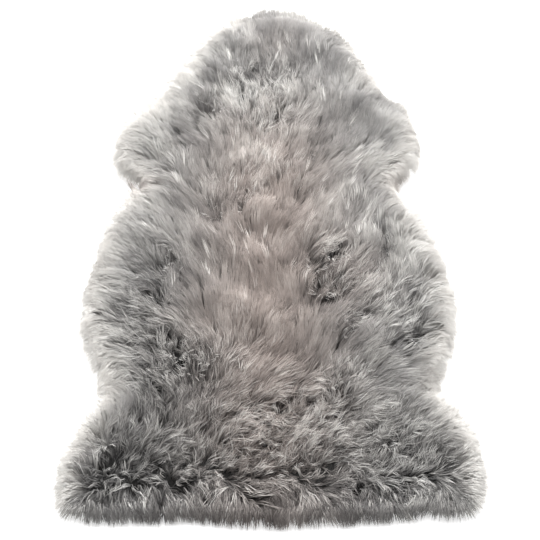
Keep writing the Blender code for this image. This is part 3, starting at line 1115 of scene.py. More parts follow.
def sinks():
    """How far under the coat's top each wisp's tip lies: the sides and the back of a clump lie deeper."""
    sweep_tier = draw.uniform(0.0, SWEEP_TIER, len(sweeps))[wisp_sweep] * (0.4 + 0.6 * wisp_mess)
    lock_tier = draw.uniform(0.0, LOCK_TIER, len(locks))[wisp_lock] * (0.6 + 1.4 * wisp_mess)
    side = (0.4 + 0.6 * wisp_mess) * (LOCK_SIDE * lock_aside ** 2 + SWEEP_SIDE * sweep_aside ** 2)
    front = (0.6 + 0.4 * wisp_mess) * (LOCK_FRONT * lock_ahead + SWEEP_FRONT * sweep_ahead)
    loose = draw.uniform(0.0, LOOSE_DEPTH, len(wisps)) * wisp_mess
    loose = loose + np.maximum(-wisp_streak - TROUGH_FROM, 0.0) * TROUGH_DEPTH
    fill = np.where(wisp_fills, draw.uniform(*FILLER_DEPTH, len(wisps)) * (1.0 + wisp_mess), 0.0)
    single = draw.uniform(0.0, SINGLE_DEPTH, len(wisps))
    sink = np.maximum(sweep_tier + lock_tier + side * (1.0 + wisp_mess) - front + loose + fill + single, 0.0)
    sink = np.where(wisp_flames, FLAME_SINK * sink, sink)
    sink = np.where(wisp_crown, draw.uniform(0.0, CROWN_DEPTH, len(wisps)), sink)
    return sink + GAP_DEPTH * wisp_gap * np.where(wisp_crosses, CROSSING_SINK, 1.0) - LIFT


wisp_sink = sinks()
print("tips lie", round(float(wisp_sink.mean() * 1000), 1), "mm under the coat's top on average")

# %% Bend the strands into place
STEPS = np.array([0.0, 0.30, 0.60, 1.0])    # a strand is worked out at these places, from root to tip
BEND = 2.8              # how early a strand turns over: the rest of it runs along the top of the coat
CRIMP = 0.0020          # ruffled wool waves from side to side by about this much,
CRIMP_WAVES = 1.1       # this many times along a strand
RIM_FLATNESS = 0.75     # at the rim strands draw together and sink less by this share
# How far the strands of a wisp join in a point: highlight, crown and other wisps, in addition ruffled ones,
FLAME_POINT, CROWN_POINT, WISP_POINT, RUFFLED_POINT = 0.70, 0.85, 0.16, 0.62
RIM_POINT, NECK_POINT = 0.4, 0.40           # less by this share at the rim, more by this much at the neck
STRAND_SINK, RUFFLED_STRAND_SINK = 0.0004, 0.0024   # single strands lie about this much deeper
ROOT_SINK = 0.003       # strands start this far inside the underwool
LEAST_RISE = 0.002      # and rise at least this much
EDGE_HEIGHTS = (0.001, 0.010)   # at the very edge the tips end this far above the floor,
NECK_HEIGHTS = (0.014, 0.026)   # and this much higher round the neck
FLOOR_ROOM = 0.0008     # nothing comes nearer the floor than this


def grow():
    """The centre line of every strand, at its steps from root to tip."""
    count = len(strand_wisp)
    inland = 1.0 - RIM_FLATNESS * strand_rim
    gather = pinches()[strand_wisp] * inland[:, None]
    bunched = np.maximum(wisp_mess, wisp_gap)
    neck = neck_edge(strand_out) * strand_rim
    drawn = np.where(wisp_flames, FLAME_POINT, WISP_POINT + RUFFLED_POINT * bunched)[strand_wisp]
    drawn = drawn * (1.0 - RIM_POINT * strand_rim)
    drawn = np.where(wisp_crown[strand_wisp], CROWN_POINT, drawn + NECK_POINT * neck)
    gather_wisp = drawn[:, None] * (wisps[strand_wisp] - strand_root)
    single = draw.exponential(1.0, count) * (STRAND_SINK + RUFFLED_STRAND_SINK * strand_mess)
    sink = wisp_sink[strand_wisp] * inland + single
    root_height = mound_top(strand_root) - ROOT_SINK
    root_depth = np.maximum(coat_top(strand_root) - root_height, LEAST_RISE)
    edge_height = draw.uniform(*EDGE_HEIGHTS, count) + draw.uniform(*NECK_HEIGHTS, count) * neck
    crimp = (draw.normal(0.0, 1.0, len(wisps)) * CRIMP * wisp_mess)[strand_wisp]
    aside = np.stack([-strand_near[:, 1], strand_near[:, 0]], axis=1) * crimp[:, None]

    line = np.empty((count, len(STEPS), 3))
    for k, t in enumerate(STEPS):
        first, second = t - t * t / 2, t * t / 2
        plan = strand_root + (strand_near * first + strand_far * second) * strand_reach[:, None]
        plan = plan + gather * t ** 1.3 + gather_wisp * t + aside * math.sin(2 * CRIMP_WAVES * math.pi * t)
        rise = 1.0 - (1.0 - t) ** BEND
        below = root_depth * (1.0 - rise) + sink * rise
        line[:, k, :2] = plan
        line[:, k, 2] = np.maximum(coat_top(plan) - below, edge_height * t + FLOOR_ROOM)
    return line


strand_line = grow()
strand_length = np.linalg.norm(np.diff(strand_line, axis=1), axis=2).sum(axis=1)
print("strands are", (strand_length.mean() * 1000).round(1), "mm long on average")

# %% [markdown]
# ## The tone of each strand
# Natural grey wool isn't one grey. It is warmer along the back, and the tone also carries painted light and
# shade:
# the forequarters are paler and the rear darker, partly in the wool's own grey and partly as painted light
# and shade, and the rim is painted nearly white, as light shining through the thin wool there. On top of
# that come soft streaks, and a few wisps painted pale as highlights. Every strand gets two numbers, how pale
# it is and how warm. A painted map could carry the same, but it would be one flat picture for wool that
# overlaps, and two strands that cross could never differ. So each strand has its own, added up from listed
# patches.

# %% Paler and darker patches: the broad ones, and the forequarters
# Each patch: where it is, how wide and long, in millimetres, and how much paler or darker.
# Some patches are the wool's own tone and some are painted light and shade: the darker undersides of the
# forelegs, the dark hollows, the darker rear end and fringe, and part of the paler forequarters.
Patch = namedtuple("Patch", "place x y across along pale")
FORE_PATCHES = listed(Patch, (
    ("top of the neck", 20, 470, 110, 50, -0.24),
    ("neck, upper", 10, 395, 100, 28, -0.07),
    ("neck, middle", 0, 345, 105, 28, -0.12),
    ("neck and shoulders", 0, 250, 200, 180, 0.06),
    ("left side", -200, -20, 80, 100, 0.03),
    ("rump, left", -165, -328, 110, 26, -0.09),
    ("rump", 0, -355, 260, 40, 0.20),
    ("rump, middle", 40, -355, 150, 55, 0.23),
    ("rear left", -150, -400, 90, 60, -0.08),
    ("before the rear seam, right", 190, -400, 80, 20, 0.12),
    ("before the rear seam", 30, -402, 220, 20, 0.13),
    ("rear end", 0, -440, 300, 70, -0.10),
    ("rear fringe", 0, -482, 280, 24, -0.18),
    ("neck, top left", -55, 458, 26, 24, -0.08),
    ("right of the neck", 100, 375, 50, 60, -0.16),
    ("left of the neck, upper", -142, 345, 30, 50, 0.31),
    ("between the crimped tufts", -10, 311, 12, 17, -0.22),
    ("left of the neck, inner", -106, 310, 32, 45, -0.20),
    ("right crimped tuft", 34, 302, 14, 24, 0.12),
    ("withers, pale wisps", -53, 290, 34, 26, 0.56),
    ("withers, right", 32, 290, 25, 30, 0.25),
    ("left crimped tuft", -45, 289, 26, 18, 0.13),
    ("left of the neck, pale spot", -124, 279, 18, 14, 0.16),
    ("beside the left crimped tuft", -101, 265, 22, 14, -0.08),
    ("right of the withers", 70, 258, 13, 13, -0.14),
    ("before the crimped tufts", -40, 252, 30, 12, -0.08),
    ("left of the neck, lower", -192, 250, 32, 40, 0.22),
    ("withers, tuft", 10, 249, 13, 13, 0.14),
    ("right shoulder, edge", 190, 240, 50, 40, -0.12),
    ("upper withers", -12, 228, 30, 26, 0.11),
    ("left foreleg, upper", -220, 225, 35, 35, 0.10),
    ("left of the withers, inner", -145, 225, 35, 35, -0.12),
    ("right shoulder, inner", 105, 215, 60, 45, -0.16),
    ("right foreleg, upper", 240, 180, 26, 26, 0.09),
    ("left of the withers", -125, 178, 45, 35, -0.08),
    ("upper back, left", -100, 178, 60, 26, -0.06),
    ("withers, middle", -10, 178, 26, 22, -0.08),
    ("right foreleg, rim", 235, 170, 30, 35, 0.17),
    ("right foreleg", 225, 160, 40, 60, 0.12),
    ("right shoulder, grey spot", 126, 153, 14, 14, -0.14),
    ("upper back, pale wisps", -20, 140, 45, 55, 0.17),
    ("left foreleg, rim", -285, 135, 45, 50, -0.18),
    ("right shoulder, pale wisps", 160, 135, 35, 30, 0.14),
    ("left foreleg, grey spot", -223, 133, 14, 14, -0.14),
    ("upper back, right", 48, 127, 40, 26, -0.12),
    ("right foreleg, inner tuft", 161, 127, 13, 14, 0.16),
    ("right foreleg, underside", 226, 110, 26, 12, -0.16),
    ("left foreleg, underside", -240, 97, 34, 14, -0.20),
    ("upper back, right tuft", 50, 91, 14, 16, 0.16),
    ("upper back, middle", -8, 77, 24, 18, -0.07),
    ("behind the right foreleg", 195, 73, 30, 25, -0.16),
    ("behind the left foreleg", -160, 65, 45, 35, -0.05),
))
print(len(FORE_PATCHES), "patches")

# %% Paler and darker patches: the back, the sides and the rear
# These too are partly the wool's own tone and partly painted light and shade, such as the dark hollows and
# the darker fringe.
HIND_PATCHES = listed(Patch, (
    ("left side, upper", -155, 55, 40, 35, -0.06),
    ("back, right", 85, 50, 40, 45, 0.09),
    ("back, right edge", 140, 50, 26, 35, -0.09),
    ("left ribs, pale wisps", -186, 30, 20, 25, 0.16),
    ("back, pale wisps", -12, 30, 22, 26, 0.12),
    ("right side, pale wisps", 170, 30, 40, 40, 0.12),
    ("back, left", -90, 28, 30, 30, -0.11),
    ("back, right of the middle", 38, 28, 28, 22, -0.15),
    ("back, left tuft", -30, 18, 14, 15, 0.14),
    ("back, left of the middle", -47, -12, 30, 26, -0.14),
    ("right side, inner", 185, -12, 28, 35, -0.09),
    ("above the right ribs", 75, -14, 28, 24, 0.22),
    ("right rim", 228, -20, 22, 40, 0.16),
    ("right side, upper rim", 250, -20, 25, 45, 0.12),
    ("right ribs, far", 108, -35, 26, 26, 0.14),
    ("beside the right ribs", 30, -64, 24, 20, -0.15),
    ("left ribs, inner", -165, -66, 20, 20, 0.10),
    ("left ribs", -160, -75, 60, 45, -0.09),
    ("right side", 235, -80, 35, 120, 0.14),
    ("left side, rim", -275, -90, 26, 45, 0.12),
    ("belly, left", -210, -95, 45, 40, -0.13),
    ("left ribs, near the back", -125, -98, 28, 30, -0.09),
    ("right ribs", 140, -105, 45, 32, 0.20),
    ("right side, dark hollow", 241, -108, 12, 14, -0.14),
    ("right side, rim", 285, -110, 26, 70, 0.16),
    ("back, left of the spine", -45, -111, 50, 24, -0.08),
    ("right belly", 215, -112, 26, 26, -0.10),
    ("left belly", -255, -130, 45, 130, 0.10),
    ("right belly, inner", 212, -130, 30, 34, -0.07),
    ("right belly, pale wisps", 196, -150, 25, 25, 0.12),
    ("left flank, upper", -162, -156, 26, 22, -0.14),
    ("right flank", 90, -156, 40, 22, -0.20),
    ("left flank", -195, -199, 28, 26, 0.08),
    ("back, middle", -10, -200, 32, 32, 0.09),
    ("right belly, dark hollow", 231, -211, 12, 12, -0.18),
    ("left thigh", -150, -220, 70, 60, 0.07),
    ("left thigh, inner", -115, -240, 30, 20, 0.09),
    ("left thigh, near the back", -120, -241, 24, 20, 0.14),
    ("lower back, right", 42, -241, 48, 20, -0.16),
    ("right thigh", 176, -241, 22, 22, 0.08),
    ("right waist", 214, -241, 22, 22, -0.08),
    ("right thigh, tuft", 144, -254, 13, 13, 0.14),
    ("rump, right of the middle", 62, -282, 26, 24, 0.09),
    ("right hip", 210, -282, 26, 26, -0.08),
    ("rump, tuft", 52, -306, 13, 13, 0.13),
    ("left hip", -225, -322, 35, 22, -0.18),
    ("tail head", 0, -322, 30, 22, 0.08),
    ("right hip, lower", 235, -335, 40, 30, -0.09),
    ("tail, dark hollow", 16, -337, 12, 10, -0.14),
    ("rear, left of the tail", -165, -361, 35, 20, -0.08),
    ("rear, right of the tail", 125, -361, 35, 20, -0.07),
    ("rear, right corner", 277, -362, 24, 22, -0.14),
    ("rear, left", -220, -398, 32, 22, 0.15),
    ("rear, near the right seam", 98, -400, 24, 16, 0.13),
    ("rear, right edge", 235, -400, 30, 18, 0.12),
    ("rear, far left", -280, -402, 32, 22, -0.16),
    ("rear, right", 200, -402, 60, 24, 0.12),
    ("rear, before the left corner", -238, -404, 13, 12, 0.12),
    ("rear seam, left of the middle", -62, -430, 13, 10, 0.12),
    ("rear seam, left", -80, -437, 24, 16, 0.23),
    ("rear seam, middle", 4, -437, 34, 18, -0.15),
    ("rear seam, left end", -201, -443, 14, 12, 0.16),
    ("rear corner, right", 312, -455, 22, 50, 0.35),
    ("fringe, right", 130, -456, 30, 30, -0.13),
    ("rear corner, left", -305, -465, 22, 50, 0.35),
    ("fringe, middle", -36, -468, 42, 26, -0.30),
    ("fringe, far right", 205, -472, 50, 20, -0.06),
    ("fringe, left", -230, -474, 60, 22, -0.10),
))
PATCHES = FORE_PATCHES + HIND_PATCHES
print(len(PATCHES), "patches in all")

# %% Grey rims and warm places
# In these places the rim's painted light is left off, and the wool stays grey out to its tips.
Share = namedtuple("Share", "place x y across along amount")
GREY_RIMS = listed(Share, (
    ("top of the neck", 20, 500, 95, 50, 0.75),
    ("right of the neck", 120, 420, 45, 50, 0.40),
    ("left of the neck", -150, 350, 35, 60, 0.25),
    ("between neck and shoulder", 155, 360, 30, 30, 0.40),
    ("right shoulder", 205, 262, 40, 36, 0.95),
    ("under the left foreleg", -240, 100, 35, 14, 0.90),
    ("under the right foreleg", 228, 112, 28, 14, 0.70),
))

# Here the wool is warmer than elsewhere at the same distance from the back; under the forelegs this warmth
# belongs to their painted shade, which is brownish.
WARM_PLACES = listed(Share, (
    ("top of the neck", 10, 410, 60, 50, 0.25),
    ("right ribs", 140, -85, 60, 60, 0.25),
    ("left thigh", -110, -170, 60, 50, 0.15),
    ("under the left foreleg", -240, 100, 35, 14, 0.60),
    ("under the right foreleg", 232, 106, 30, 14, 0.60),
))
GREY_REAR = 0.90        # how far the rear fringe stays grey


def rim_greyness(spots, out):
    """1 where the rim's wool stays grey, 0 where it gets the painted rim light."""
    kept = GREY_REAR * rear_edge(spots, out) + sum(row.amount * nearness(spots, row) for row in GREY_RIMS)
    return np.clip(kept, 0.0, 1.0)


print(len(GREY_RIMS), "grey rims,", len(WARM_PLACES), "warm places")

# %% The tone of each wisp
LIVELY_REAR = (0.37, 0.42)      # between these distances behind the centre all wool turns lively,
CALM_FRINGE = (0.445, 0.475)    # and between these, in the fringe, it calms down
CALM_FRINGE_SHARE = 0.68        # by this share
# Wisps are paler or darker by about these tones, by chance: everywhere, and in addition lively ones.
WISP_TONE, LIVELY_WISP_TONE = 0.013, 0.155
LIVELY_PALER = 0.17     # lively wool is this much paler, to make up for its shadows
LOCK_TONE, SWEEP_TONE = 0.020, 0.028        # whole locks and sweeps differ by about this much,
LOCK_SIDE_SHADE, SWEEP_SIDE_SHADE = 0.03, 0.04        # are painted darker at their sides by this much, as painted shade,
LOCK_FRONT_LIGHT, SWEEP_FRONT_LIGHT = 0.015, 0.04     # and paler at their fronts, as painted light
FINE_STREAK_TONE, STREAK_TONE, BROAD_STREAK_TONE = 0.034, 0.034, 0.050
TROUGH_SHADE, DEEP_TROUGH = 0.10, 1.2        # the deepest troughs between the streaks are darker still, as painted shade
SINK_SHADE, LIVELY_SINK_SHADE = 7.0, 30.0     # each metre of depth darkens by this much, as painted shade,
DEEPEST = 0.016                             # down to this depth
CROSSING_LIGHT, GAP_SHADE, CROWN_TONE = 0.16, -0.14, 0.05     # wisps over gaps (painted light), in gaps (painted shade), and in crowns
FLAME_HIGHLIGHT_TONES = (0.12, 0.38)      # highlight wisps are painted paler, as painted highlights, by tones between these


def livelinesses():
    """How lively the tones of each wisp are, 0 to 1: more where it is ruffled and towards the rear."""
    lively = np.maximum(wisp_mess, smooth_step(-wisps[:, 1], *LIVELY_REAR))
    return lively * (1.0 - CALM_FRINGE_SHARE * smooth_step(-wisps[:, 1], *CALM_FRINGE))


def wisp_tones():
    """How much paler or darker than its surroundings each wisp is."""
    spread = WISP_TONE + LIVELY_WISP_TONE * wisp_lively
    tone = draw.normal(0.0, 1.0, len(wisps)) * spread + LIVELY_PALER * wisp_lively
    tone = tone + draw.normal(0.0, LOCK_TONE, len(locks))[wisp_lock]
    tone = tone + draw.normal(0.0, SWEEP_TONE, len(sweeps))[wisp_sweep]
    # painted shade at the sides of locks and sweeps, painted light at their fronts
    side = LOCK_SIDE_SHADE * lock_aside ** 2 + SWEEP_SIDE_SHADE * sweep_aside ** 2
    tone = tone - (0.3 + 0.7 * wisp_lively) * side
    tone = tone + LOCK_FRONT_LIGHT * lock_ahead + SWEEP_FRONT_LIGHT * sweep_ahead
    tone = tone + FINE_STREAK_TONE * wisp_thread + STREAK_TONE * wisp_streak + BROAD_STREAK_TONE * wisp_band
    # painted shade in the deepest troughs between the streaks
    tone = tone - TROUGH_SHADE * np.maximum(-wisp_streak - DEEP_TROUGH, 0.0)
    # painted shade: the deeper a tip lies, the darker it is
    tone = tone - (SINK_SHADE + LIVELY_SINK_SHADE * wisp_lively) * np.clip(wisp_sink, 0.0, DEEPEST)
    # painted light on wisps over gaps, painted shade on wisps in them
    tone = tone + wisp_gap * np.where(wisp_crosses, CROSSING_LIGHT, GAP_SHADE) + CROWN_TONE * wisp_crown
    # painted highlights on the highlight wisps
    return tone + wisp_flames * draw.uniform(*FLAME_HIGHLIGHT_TONES, len(wisps))


wisp_lively = livelinesses()
wisp_tone = wisp_tones()
print("wisps differ by", round(float(wisp_tone.std()), 3), "in tone")

# %% Where the rim is painted pale, as light shining through
RIM_FADE = 0.058        # the wool is painted paler, as light shining through thin wool, over this distance towards the outline
RIM_RISE = 1.25         # and is palest a little before it
RIM_SHARE = 0.95        # where it has become the rim's own tone by this share

strand_shown = strand_line[:, 2, :2]    # a strand shows most at its third step, where it lies on top
shown_room, shown_out = near_edge(wool_edge, strand_shown)
tip_room = near_edge(wool_edge, strand_line[:, 3, :2])[0]
shown_paling = 1.0 - rim_greyness(strand_shown, shown_out)
shown_rim = RIM_SHARE * np.clip(RIM_RISE * (1.0 - shown_room / RIM_FADE), 0.0, 1.0) * shown_paling
print(int((shown_rim > 0.5).sum()), "strands belong to the pale rim")

# %% How pale and how warm each strand is
BASE_TONE = 0.52
# the rim's painted light: the tone of wool lit through at the outline
RIM_LIGHT_TONE = 0.84
STRAND_TONE, LIVELY_STRAND_TONE = 0.018, 0.165      # strands differ from their wisp by about this much
UNDER_FRINGE, UNDER_FRINGE_SHADE = (0.038, 0.056), 0.09      # the fringe's lowest strands are darker, as painted shade
TIP_LIGHT, TIP_ZONE = 0.11, (-0.010, 0.003)          # tips that reach the outline are painted paler, as light shining through,
NECK_TIP_LIGHT, NECK_TIP_ZONE = 0.15, (0.004, 0.016)         # and at the neck the longest are paler still, painted light as well
CALM_RIM_TONE = 0.72    # in the pale rim all these differences are smaller by this share
LEAST_WARMTH, BACK_WARMTH, RIM_WARMTH, WARMTH_SPREAD = 0.04, 0.86, 0.16, 0.05
WARM_MIDDLE, WARM_WIDTH = -0.005, 0.12      # the warm stripe along the back


def strand_pales():
    """How pale each strand is, 0 to 1."""
    spread = STRAND_TONE + LIVELY_STRAND_TONE * wisp_lively[strand_wisp]
    of_strand = draw.normal(0.0, 1.0, len(strand_wisp)) * spread
    # painted shade on the fringe's lowest strands
    base = BASE_TONE - UNDER_FRINGE_SHADE * (strand_rear * (1.0 - smooth_step(strand_room, *UNDER_FRINGE)))
    # the patches, partly painted light and shade
    for row in PATCHES:
        base = base + row.pale * nearness(strand_shown, row)
    # the rim's painted light
    base = base * (1.0 - shown_rim) + RIM_LIGHT_TONE * shown_rim
    base = base + TIP_LIGHT * smooth_step(-tip_room, *TIP_ZONE) * shown_paling
    base = base + NECK_TIP_LIGHT * smooth_step(-tip_room, *NECK_TIP_ZONE) * (shown_out[:, 1] > 0.2)
    pale = base + (wisp_tone[strand_wisp] + of_strand) * (1.0 - CALM_RIM_TONE * shown_rim)
    return np.clip(pale, 0.02, 0.98)


def strand_warmths():
    """How warm the grey of each strand is, 0 to 1: warmest along the back."""
    x, behind = strand_shown[:, 0], -strand_shown[:, 1]
    back = smooth_step(behind, -0.42, -0.05) * (1.0 - 0.45 * smooth_step(behind, 0.36, 0.48))
    stripe = np.exp(-((x - WARM_MIDDLE) / WARM_WIDTH) ** 2)
    warm = LEAST_WARMTH + BACK_WARMTH * stripe * back + draw.normal(0.0, WARMTH_SPREAD, len(strand_wisp))
    warm = warm + RIM_WARMTH * shown_rim
    for row in WARM_PLACES:
        warm = warm + row.amount * nearness(strand_shown, row)
    return np.clip(warm, 0.0, 0.999)


strand_pale = strand_pales()
strand_warm = strand_warmths()
print("tones", strand_pale.mean().round(2), "warmth", strand_warm.mean().round(2))

# %% [markdown]
# ## From lines to blades
# A strand becomes a pointed blade with its face up. Seen from a distance a round hair and a flat blade can't
# be told apart, and a blade needs three triangles where the wool is smooth and five where it curls. Hair
# curves would look the same here, but wherever the rug is used as a mesh they would be lost, or turned into
# far too many faces. A blade rolls a little with its place in the lock, as if it lay on a rounded back, so
# that the light falls off softly across each lock.

# %% The shape and the roll of a blade
BLADE_WIDTH = 0.00088
BLADE_WIDTHS = (0.7, 1.3)   # single blades are narrower or wider by factors between these,
RUFFLED_NARROWER = 0.20     # and narrower by this share where the wool is ruffled
CURLY_FROM = 0.42       # from this much ruffle on, a blade has one more bend
# Which steps of a strand's line a blade follows, and how wide it is at each.
PLAIN_BLADE = ((0, 2, 3), (0.8, 1.0, 0.0))
CURLY_BLADE = ((0, 1, 2, 3), (0.8, 1.0, 0.8, 0.0))
LOCK_ROLL, SWEEP_ROLL = 0.40, 0.30          # a blade at the side of its lock or sweep rolls by this angle
STRAND_ROLL, RUFFLED_ROLL = 0.08, 0.45      # and by about this angle by chance

strand_roll = LOCK_ROLL * lock_aside[strand_wisp] + SWEEP_ROLL * sweep_aside[strand_wisp]
roll_spread = STRAND_ROLL + RUFFLED_ROLL * strand_mess
strand_roll = strand_roll + draw.normal(0.0, 1.0, len(strand_wisp)) * roll_spread
strand_width = BLADE_WIDTH * draw.uniform(*BLADE_WIDTHS, len(strand_wisp))
strand_width = strand_width * (1.0 - RUFFLED_NARROWER * strand_mess)
print("blades are", round(float(strand_width.mean() * 1000), 2), "mm wide on average")

# %% The points of a blade
LEAN_BACK = 0.25        # the face of a blade leans back by this much against the way the tip points


def blade_points(pick, steps, widths):
    """The points of some strands' blades: left and right at each step, and one point at the tip."""
    line = strand_line[pick][:, steps]
    count, points = line.shape[:2]
    ahead = np.diff(line, axis=1)
    tangent = unit(np.concatenate([ahead[:, :1], (ahead[:, 1:] + ahead[:, :-1]) / 2, ahead[:, -1:]], axis=1))
    up = np.zeros_like(tangent)
    up[..., 2] = 1.0
    up[..., :2] -= LEAN_BACK * tangent[:, -1:, :2]
    face = unit(up - (up * tangent).sum(axis=2, keepdims=True) * tangent)
    roll = strand_roll[pick][:, None, None]
    across = np.cross(face, tangent) * np.cos(roll) - face * np.sin(roll)
    half = across * (strand_width[pick][:, None] * np.array(widths)[None])[..., None] / 2
    verts = np.empty((count, 2 * points - 1, 3))
    verts[:, 0:-1:2] = (line + half)[:, :-1]
    verts[:, 1:-1:2] = (line - half)[:, :-1]
    verts[:, -1] = line[:, -1]
    return verts


print("the points of the first blade:", blade_points(np.arange(1), *PLAIN_BLADE)[0].round(3).tolist())

# %% The places of a blade on the map of colours
WARM_BANDS = 8          # the map has this many bands, from cool to warm
STRIP = 0.0045          # width of a strand's strip in that map
BAND_MARGIN = 0.04      # a strand keeps this share of a band away from the band's ends
MAP_MARGIN = 0.01       # and this much away from the map's lower and upper edge
PALE_ROOT, PALE_RIM_ROOT = 0.45, 0.25   # smooth wool and the rim's start this far up the map, so their roots get less painted root shade


def map_places(pick, steps):
    """Where each point of some strands' blades lies on the map: across by tone, upwards by its step."""
    band = np.floor(strand_warm[pick] * WARM_BANDS)
    centre = ((band + BAND_MARGIN + (1.0 - 2 * BAND_MARGIN) * strand_pale[pick]) / WARM_BANDS)[:, None]
    spot = np.empty((len(pick), 2 * len(steps) - 1, 2))
    spot[:, 0:-1:2, 0] = centre - STRIP / 2
    spot[:, 1:-1:2, 0] = centre + STRIP / 2
    spot[:, -1:, 0] = centre
    along = STEPS[steps]
    spot[:, 0:-1:2, 1] = spot[:, 1:-1:2, 1] = along[:-1]
    spot[:, -1, 1] = along[-1]
    start = (PALE_ROOT * (1.0 - strand_mess[pick]) ** 2 + PALE_RIM_ROOT * strand_rim[pick])[:, None]
    spot[..., 1] = MAP_MARGIN + (1.0 - 2 * MAP_MARGIN) * (start + (1.0 - start) * spot[..., 1])
    return spot


print("the first strand is in band", int(strand_warm[0] * WARM_BANDS), "of", WARM_BANDS)

# %% Blades joined in one mesh
def blades(pick, shape):
    """Points, face corners, face sizes and map places of the blades of some strands."""
    steps, widths = list(shape[0]), list(shape[1])
    points = len(steps)
    verts, spot = blade_points(pick, steps, widths), map_places(pick, steps)
    corners = []
    for k in range(points - 2):
        corners += [2 * k, 2 * k + 1, 2 * k + 3, 2 * k + 2]
    corners += [2 * points - 4, 2 * points - 3, 2 * points - 2]
    sizes = np.tile([4] * (points - 2) + [3], len(pick))
    loops = (np.array(corners)[None] + (np.arange(len(pick)) * verts.shape[1])[:, None]).reshape(-1)
    return verts.reshape(-1, 3), loops, sizes, spot[:, corners].reshape(-1, 2)


def blade_mesh(name, pick):
    """One mesh with a pointed blade for each picked strand."""
    curly = strand_mess[pick] > CURLY_FROM
    plain_parts, curly_parts = blades(pick[~curly], PLAIN_BLADE), blades(pick[curly], CURLY_BLADE)
    verts = np.vstack([plain_parts[0], curly_parts[0]])
    loops = np.concatenate([plain_parts[1], curly_parts[1] + len(plain_parts[0])])
    sizes = np.concatenate([plain_parts[2], curly_parts[2]])
    places = np.vstack([plain_parts[3], curly_parts[3]])
    mesh = bpy.data.meshes.new(name)
    mesh.vertices.add(len(verts))
    mesh.vertices.foreach_set("co", verts.reshape(-1).astype(np.float32))
    mesh.loops.add(len(loops))
    mesh.loops.foreach_set("vertex_index", loops.astype(np.int32))
    mesh.polygons.add(len(sizes))
    starts = np.concatenate([[0], np.cumsum(sizes)[:-1]])
    mesh.polygons.foreach_set("loop_start", starts.astype(np.int32))
    mesh.polygons.foreach_set("use_smooth", np.ones(len(sizes), bool))
    mesh.update(calc_edges=True)
    layer = mesh.uv_layers.new(name="OFBake")
    layer.uv.foreach_set("vector", places.reshape(-1).astype(np.float32))
    piece = bpy.data.objects.new(name, mesh)
    bpy.context.scene.collection.objects.link(piece)
    return piece


print("a plain blade has", len(blades(np.arange(1), PLAIN_BLADE)[0]), "points")

# %% Make the wool, part by part
WOOL_PARTS = ("wool_rear", "wool_belly", "wool_back", "wool_shoulders", "wool_neck")


def wool_parts():
    """The strands in five pieces with the same number of triangles, from the rear end to the neck."""
    order = np.argsort(strand_root[:, 1], kind="stable")
    triangles = np.cumsum(np.where(strand_mess[order] > CURLY_FROM, 5, 3))
    cuts = np.searchsorted(triangles, triangles[-1] * np.arange(1, len(WOOL_PARTS)) / len(WOOL_PARTS))
    return [blade_mesh(name, np.sort(pick)) for name, pick in zip(WOOL_PARTS, np.split(order, cuts))]


wool = wool_parts()
for piece in wool:
    print(piece.name, sum(len(p.vertices) - 2 for p in piece.data.polygons), "triangles")

# %% [markdown]
# ## The finishes
# The long wool takes its colour from a map that every strand carries. Across, the map holds eight bands
# from cool to warm grey, and each band runs from dark to pale. Upwards it runs from root to tip, and wool is
# darker near the root: partly dust and grease, which stay there, and partly painted shade, as little light
# gets in.
# So one material gives each of the strands its own grey. A material for each grey would do the same with far
# more to keep in order. The finish is matt, with a soft sheen, as on washed wool.

# %% A new finish, and colours that follow a number
def new_finish(name, roughness, specular):
    """A material with its nodes, its links and its surface."""
    material = bpy.data.materials.new(name)
    material.use_nodes = True
    nodes, links = material.node_tree.nodes, material.node_tree.links
    surface = nodes["Principled BSDF"]
    surface.inputs["Roughness"].default_value = roughness
    surface.inputs["Specular IOR Level"].default_value = specular
    return material, nodes, links, surface


def ramp(nodes, links, factor, stops):
    """A colour that follows a number, through the given stops."""
    node = nodes.new("ShaderNodeValToRGB")
    links.new(factor, node.inputs[0])
    while len(node.color_ramp.elements) < len(stops):
        node.color_ramp.elements.new(0.5)
    for element, (place, colour) in zip(node.color_ramp.elements, stops):
        element.position = place
        element.color = (*colour, 1.0)
    return node.outputs[0]


def calculated(nodes, links, operation, first, second=0.0):
    """The result of one calculation; each side is a number or another node's output."""
    node = nodes.new("ShaderNodeMath")
    node.operation = operation
    for socket, value in zip(node.inputs, (first, second)):
        if isinstance(value, (int, float)):
            socket.default_value = value
        else:
            links.new(value, socket)
    return node.outputs[0]


def mixed(nodes, links, factor, first, second, blend="MIX"):
    """Two colours mixed, or multiplied."""
    node = nodes.new("ShaderNodeMix")
    node.data_type = "RGBA"
    node.blend_type = blend
    if isinstance(factor, float):
        node.inputs["Factor"].default_value = factor
    else:
        links.new(factor, node.inputs["Factor"])
    links.new(first, node.inputs["A"])
    links.new(second, node.inputs["B"])
    return node.outputs["Result"]

# %% Patterns and relief
def cloudy(nodes, links, size, detail, stretch=(1.0, 1.0, 1.0), distortion=0.0):
    """A cloudy pattern over the piece's own coordinates, with patches of about the given size."""
    place = nodes.new("ShaderNodeTexCoord")
    scaled = nodes.new("ShaderNodeMapping")
    scaled.inputs["Scale"].default_value = stretch
    links.new(place.outputs["Object"], scaled.inputs["Vector"])
    node = nodes.new("ShaderNodeTexNoise")
    node.inputs["Scale"].default_value = 1.0 / size
    node.inputs["Detail"].default_value = detail
    node.inputs["Distortion"].default_value = distortion
    links.new(scaled.outputs["Vector"], node.inputs["Vector"])
    return node.outputs[0]


def roughened(nodes, links, surface, height, distance):
    """A bump of a given depth on the surface."""
    node = nodes.new("ShaderNodeBump")
    node.inputs["Strength"].default_value = 1.0
    node.inputs["Distance"].default_value = distance
    links.new(height, node.inputs["Height"])
    links.new(node.outputs["Normal"], surface.inputs["Normal"])

# %% Long wool
SHEEN, SHEEN_ROUGHNESS = 0.25, 0.45
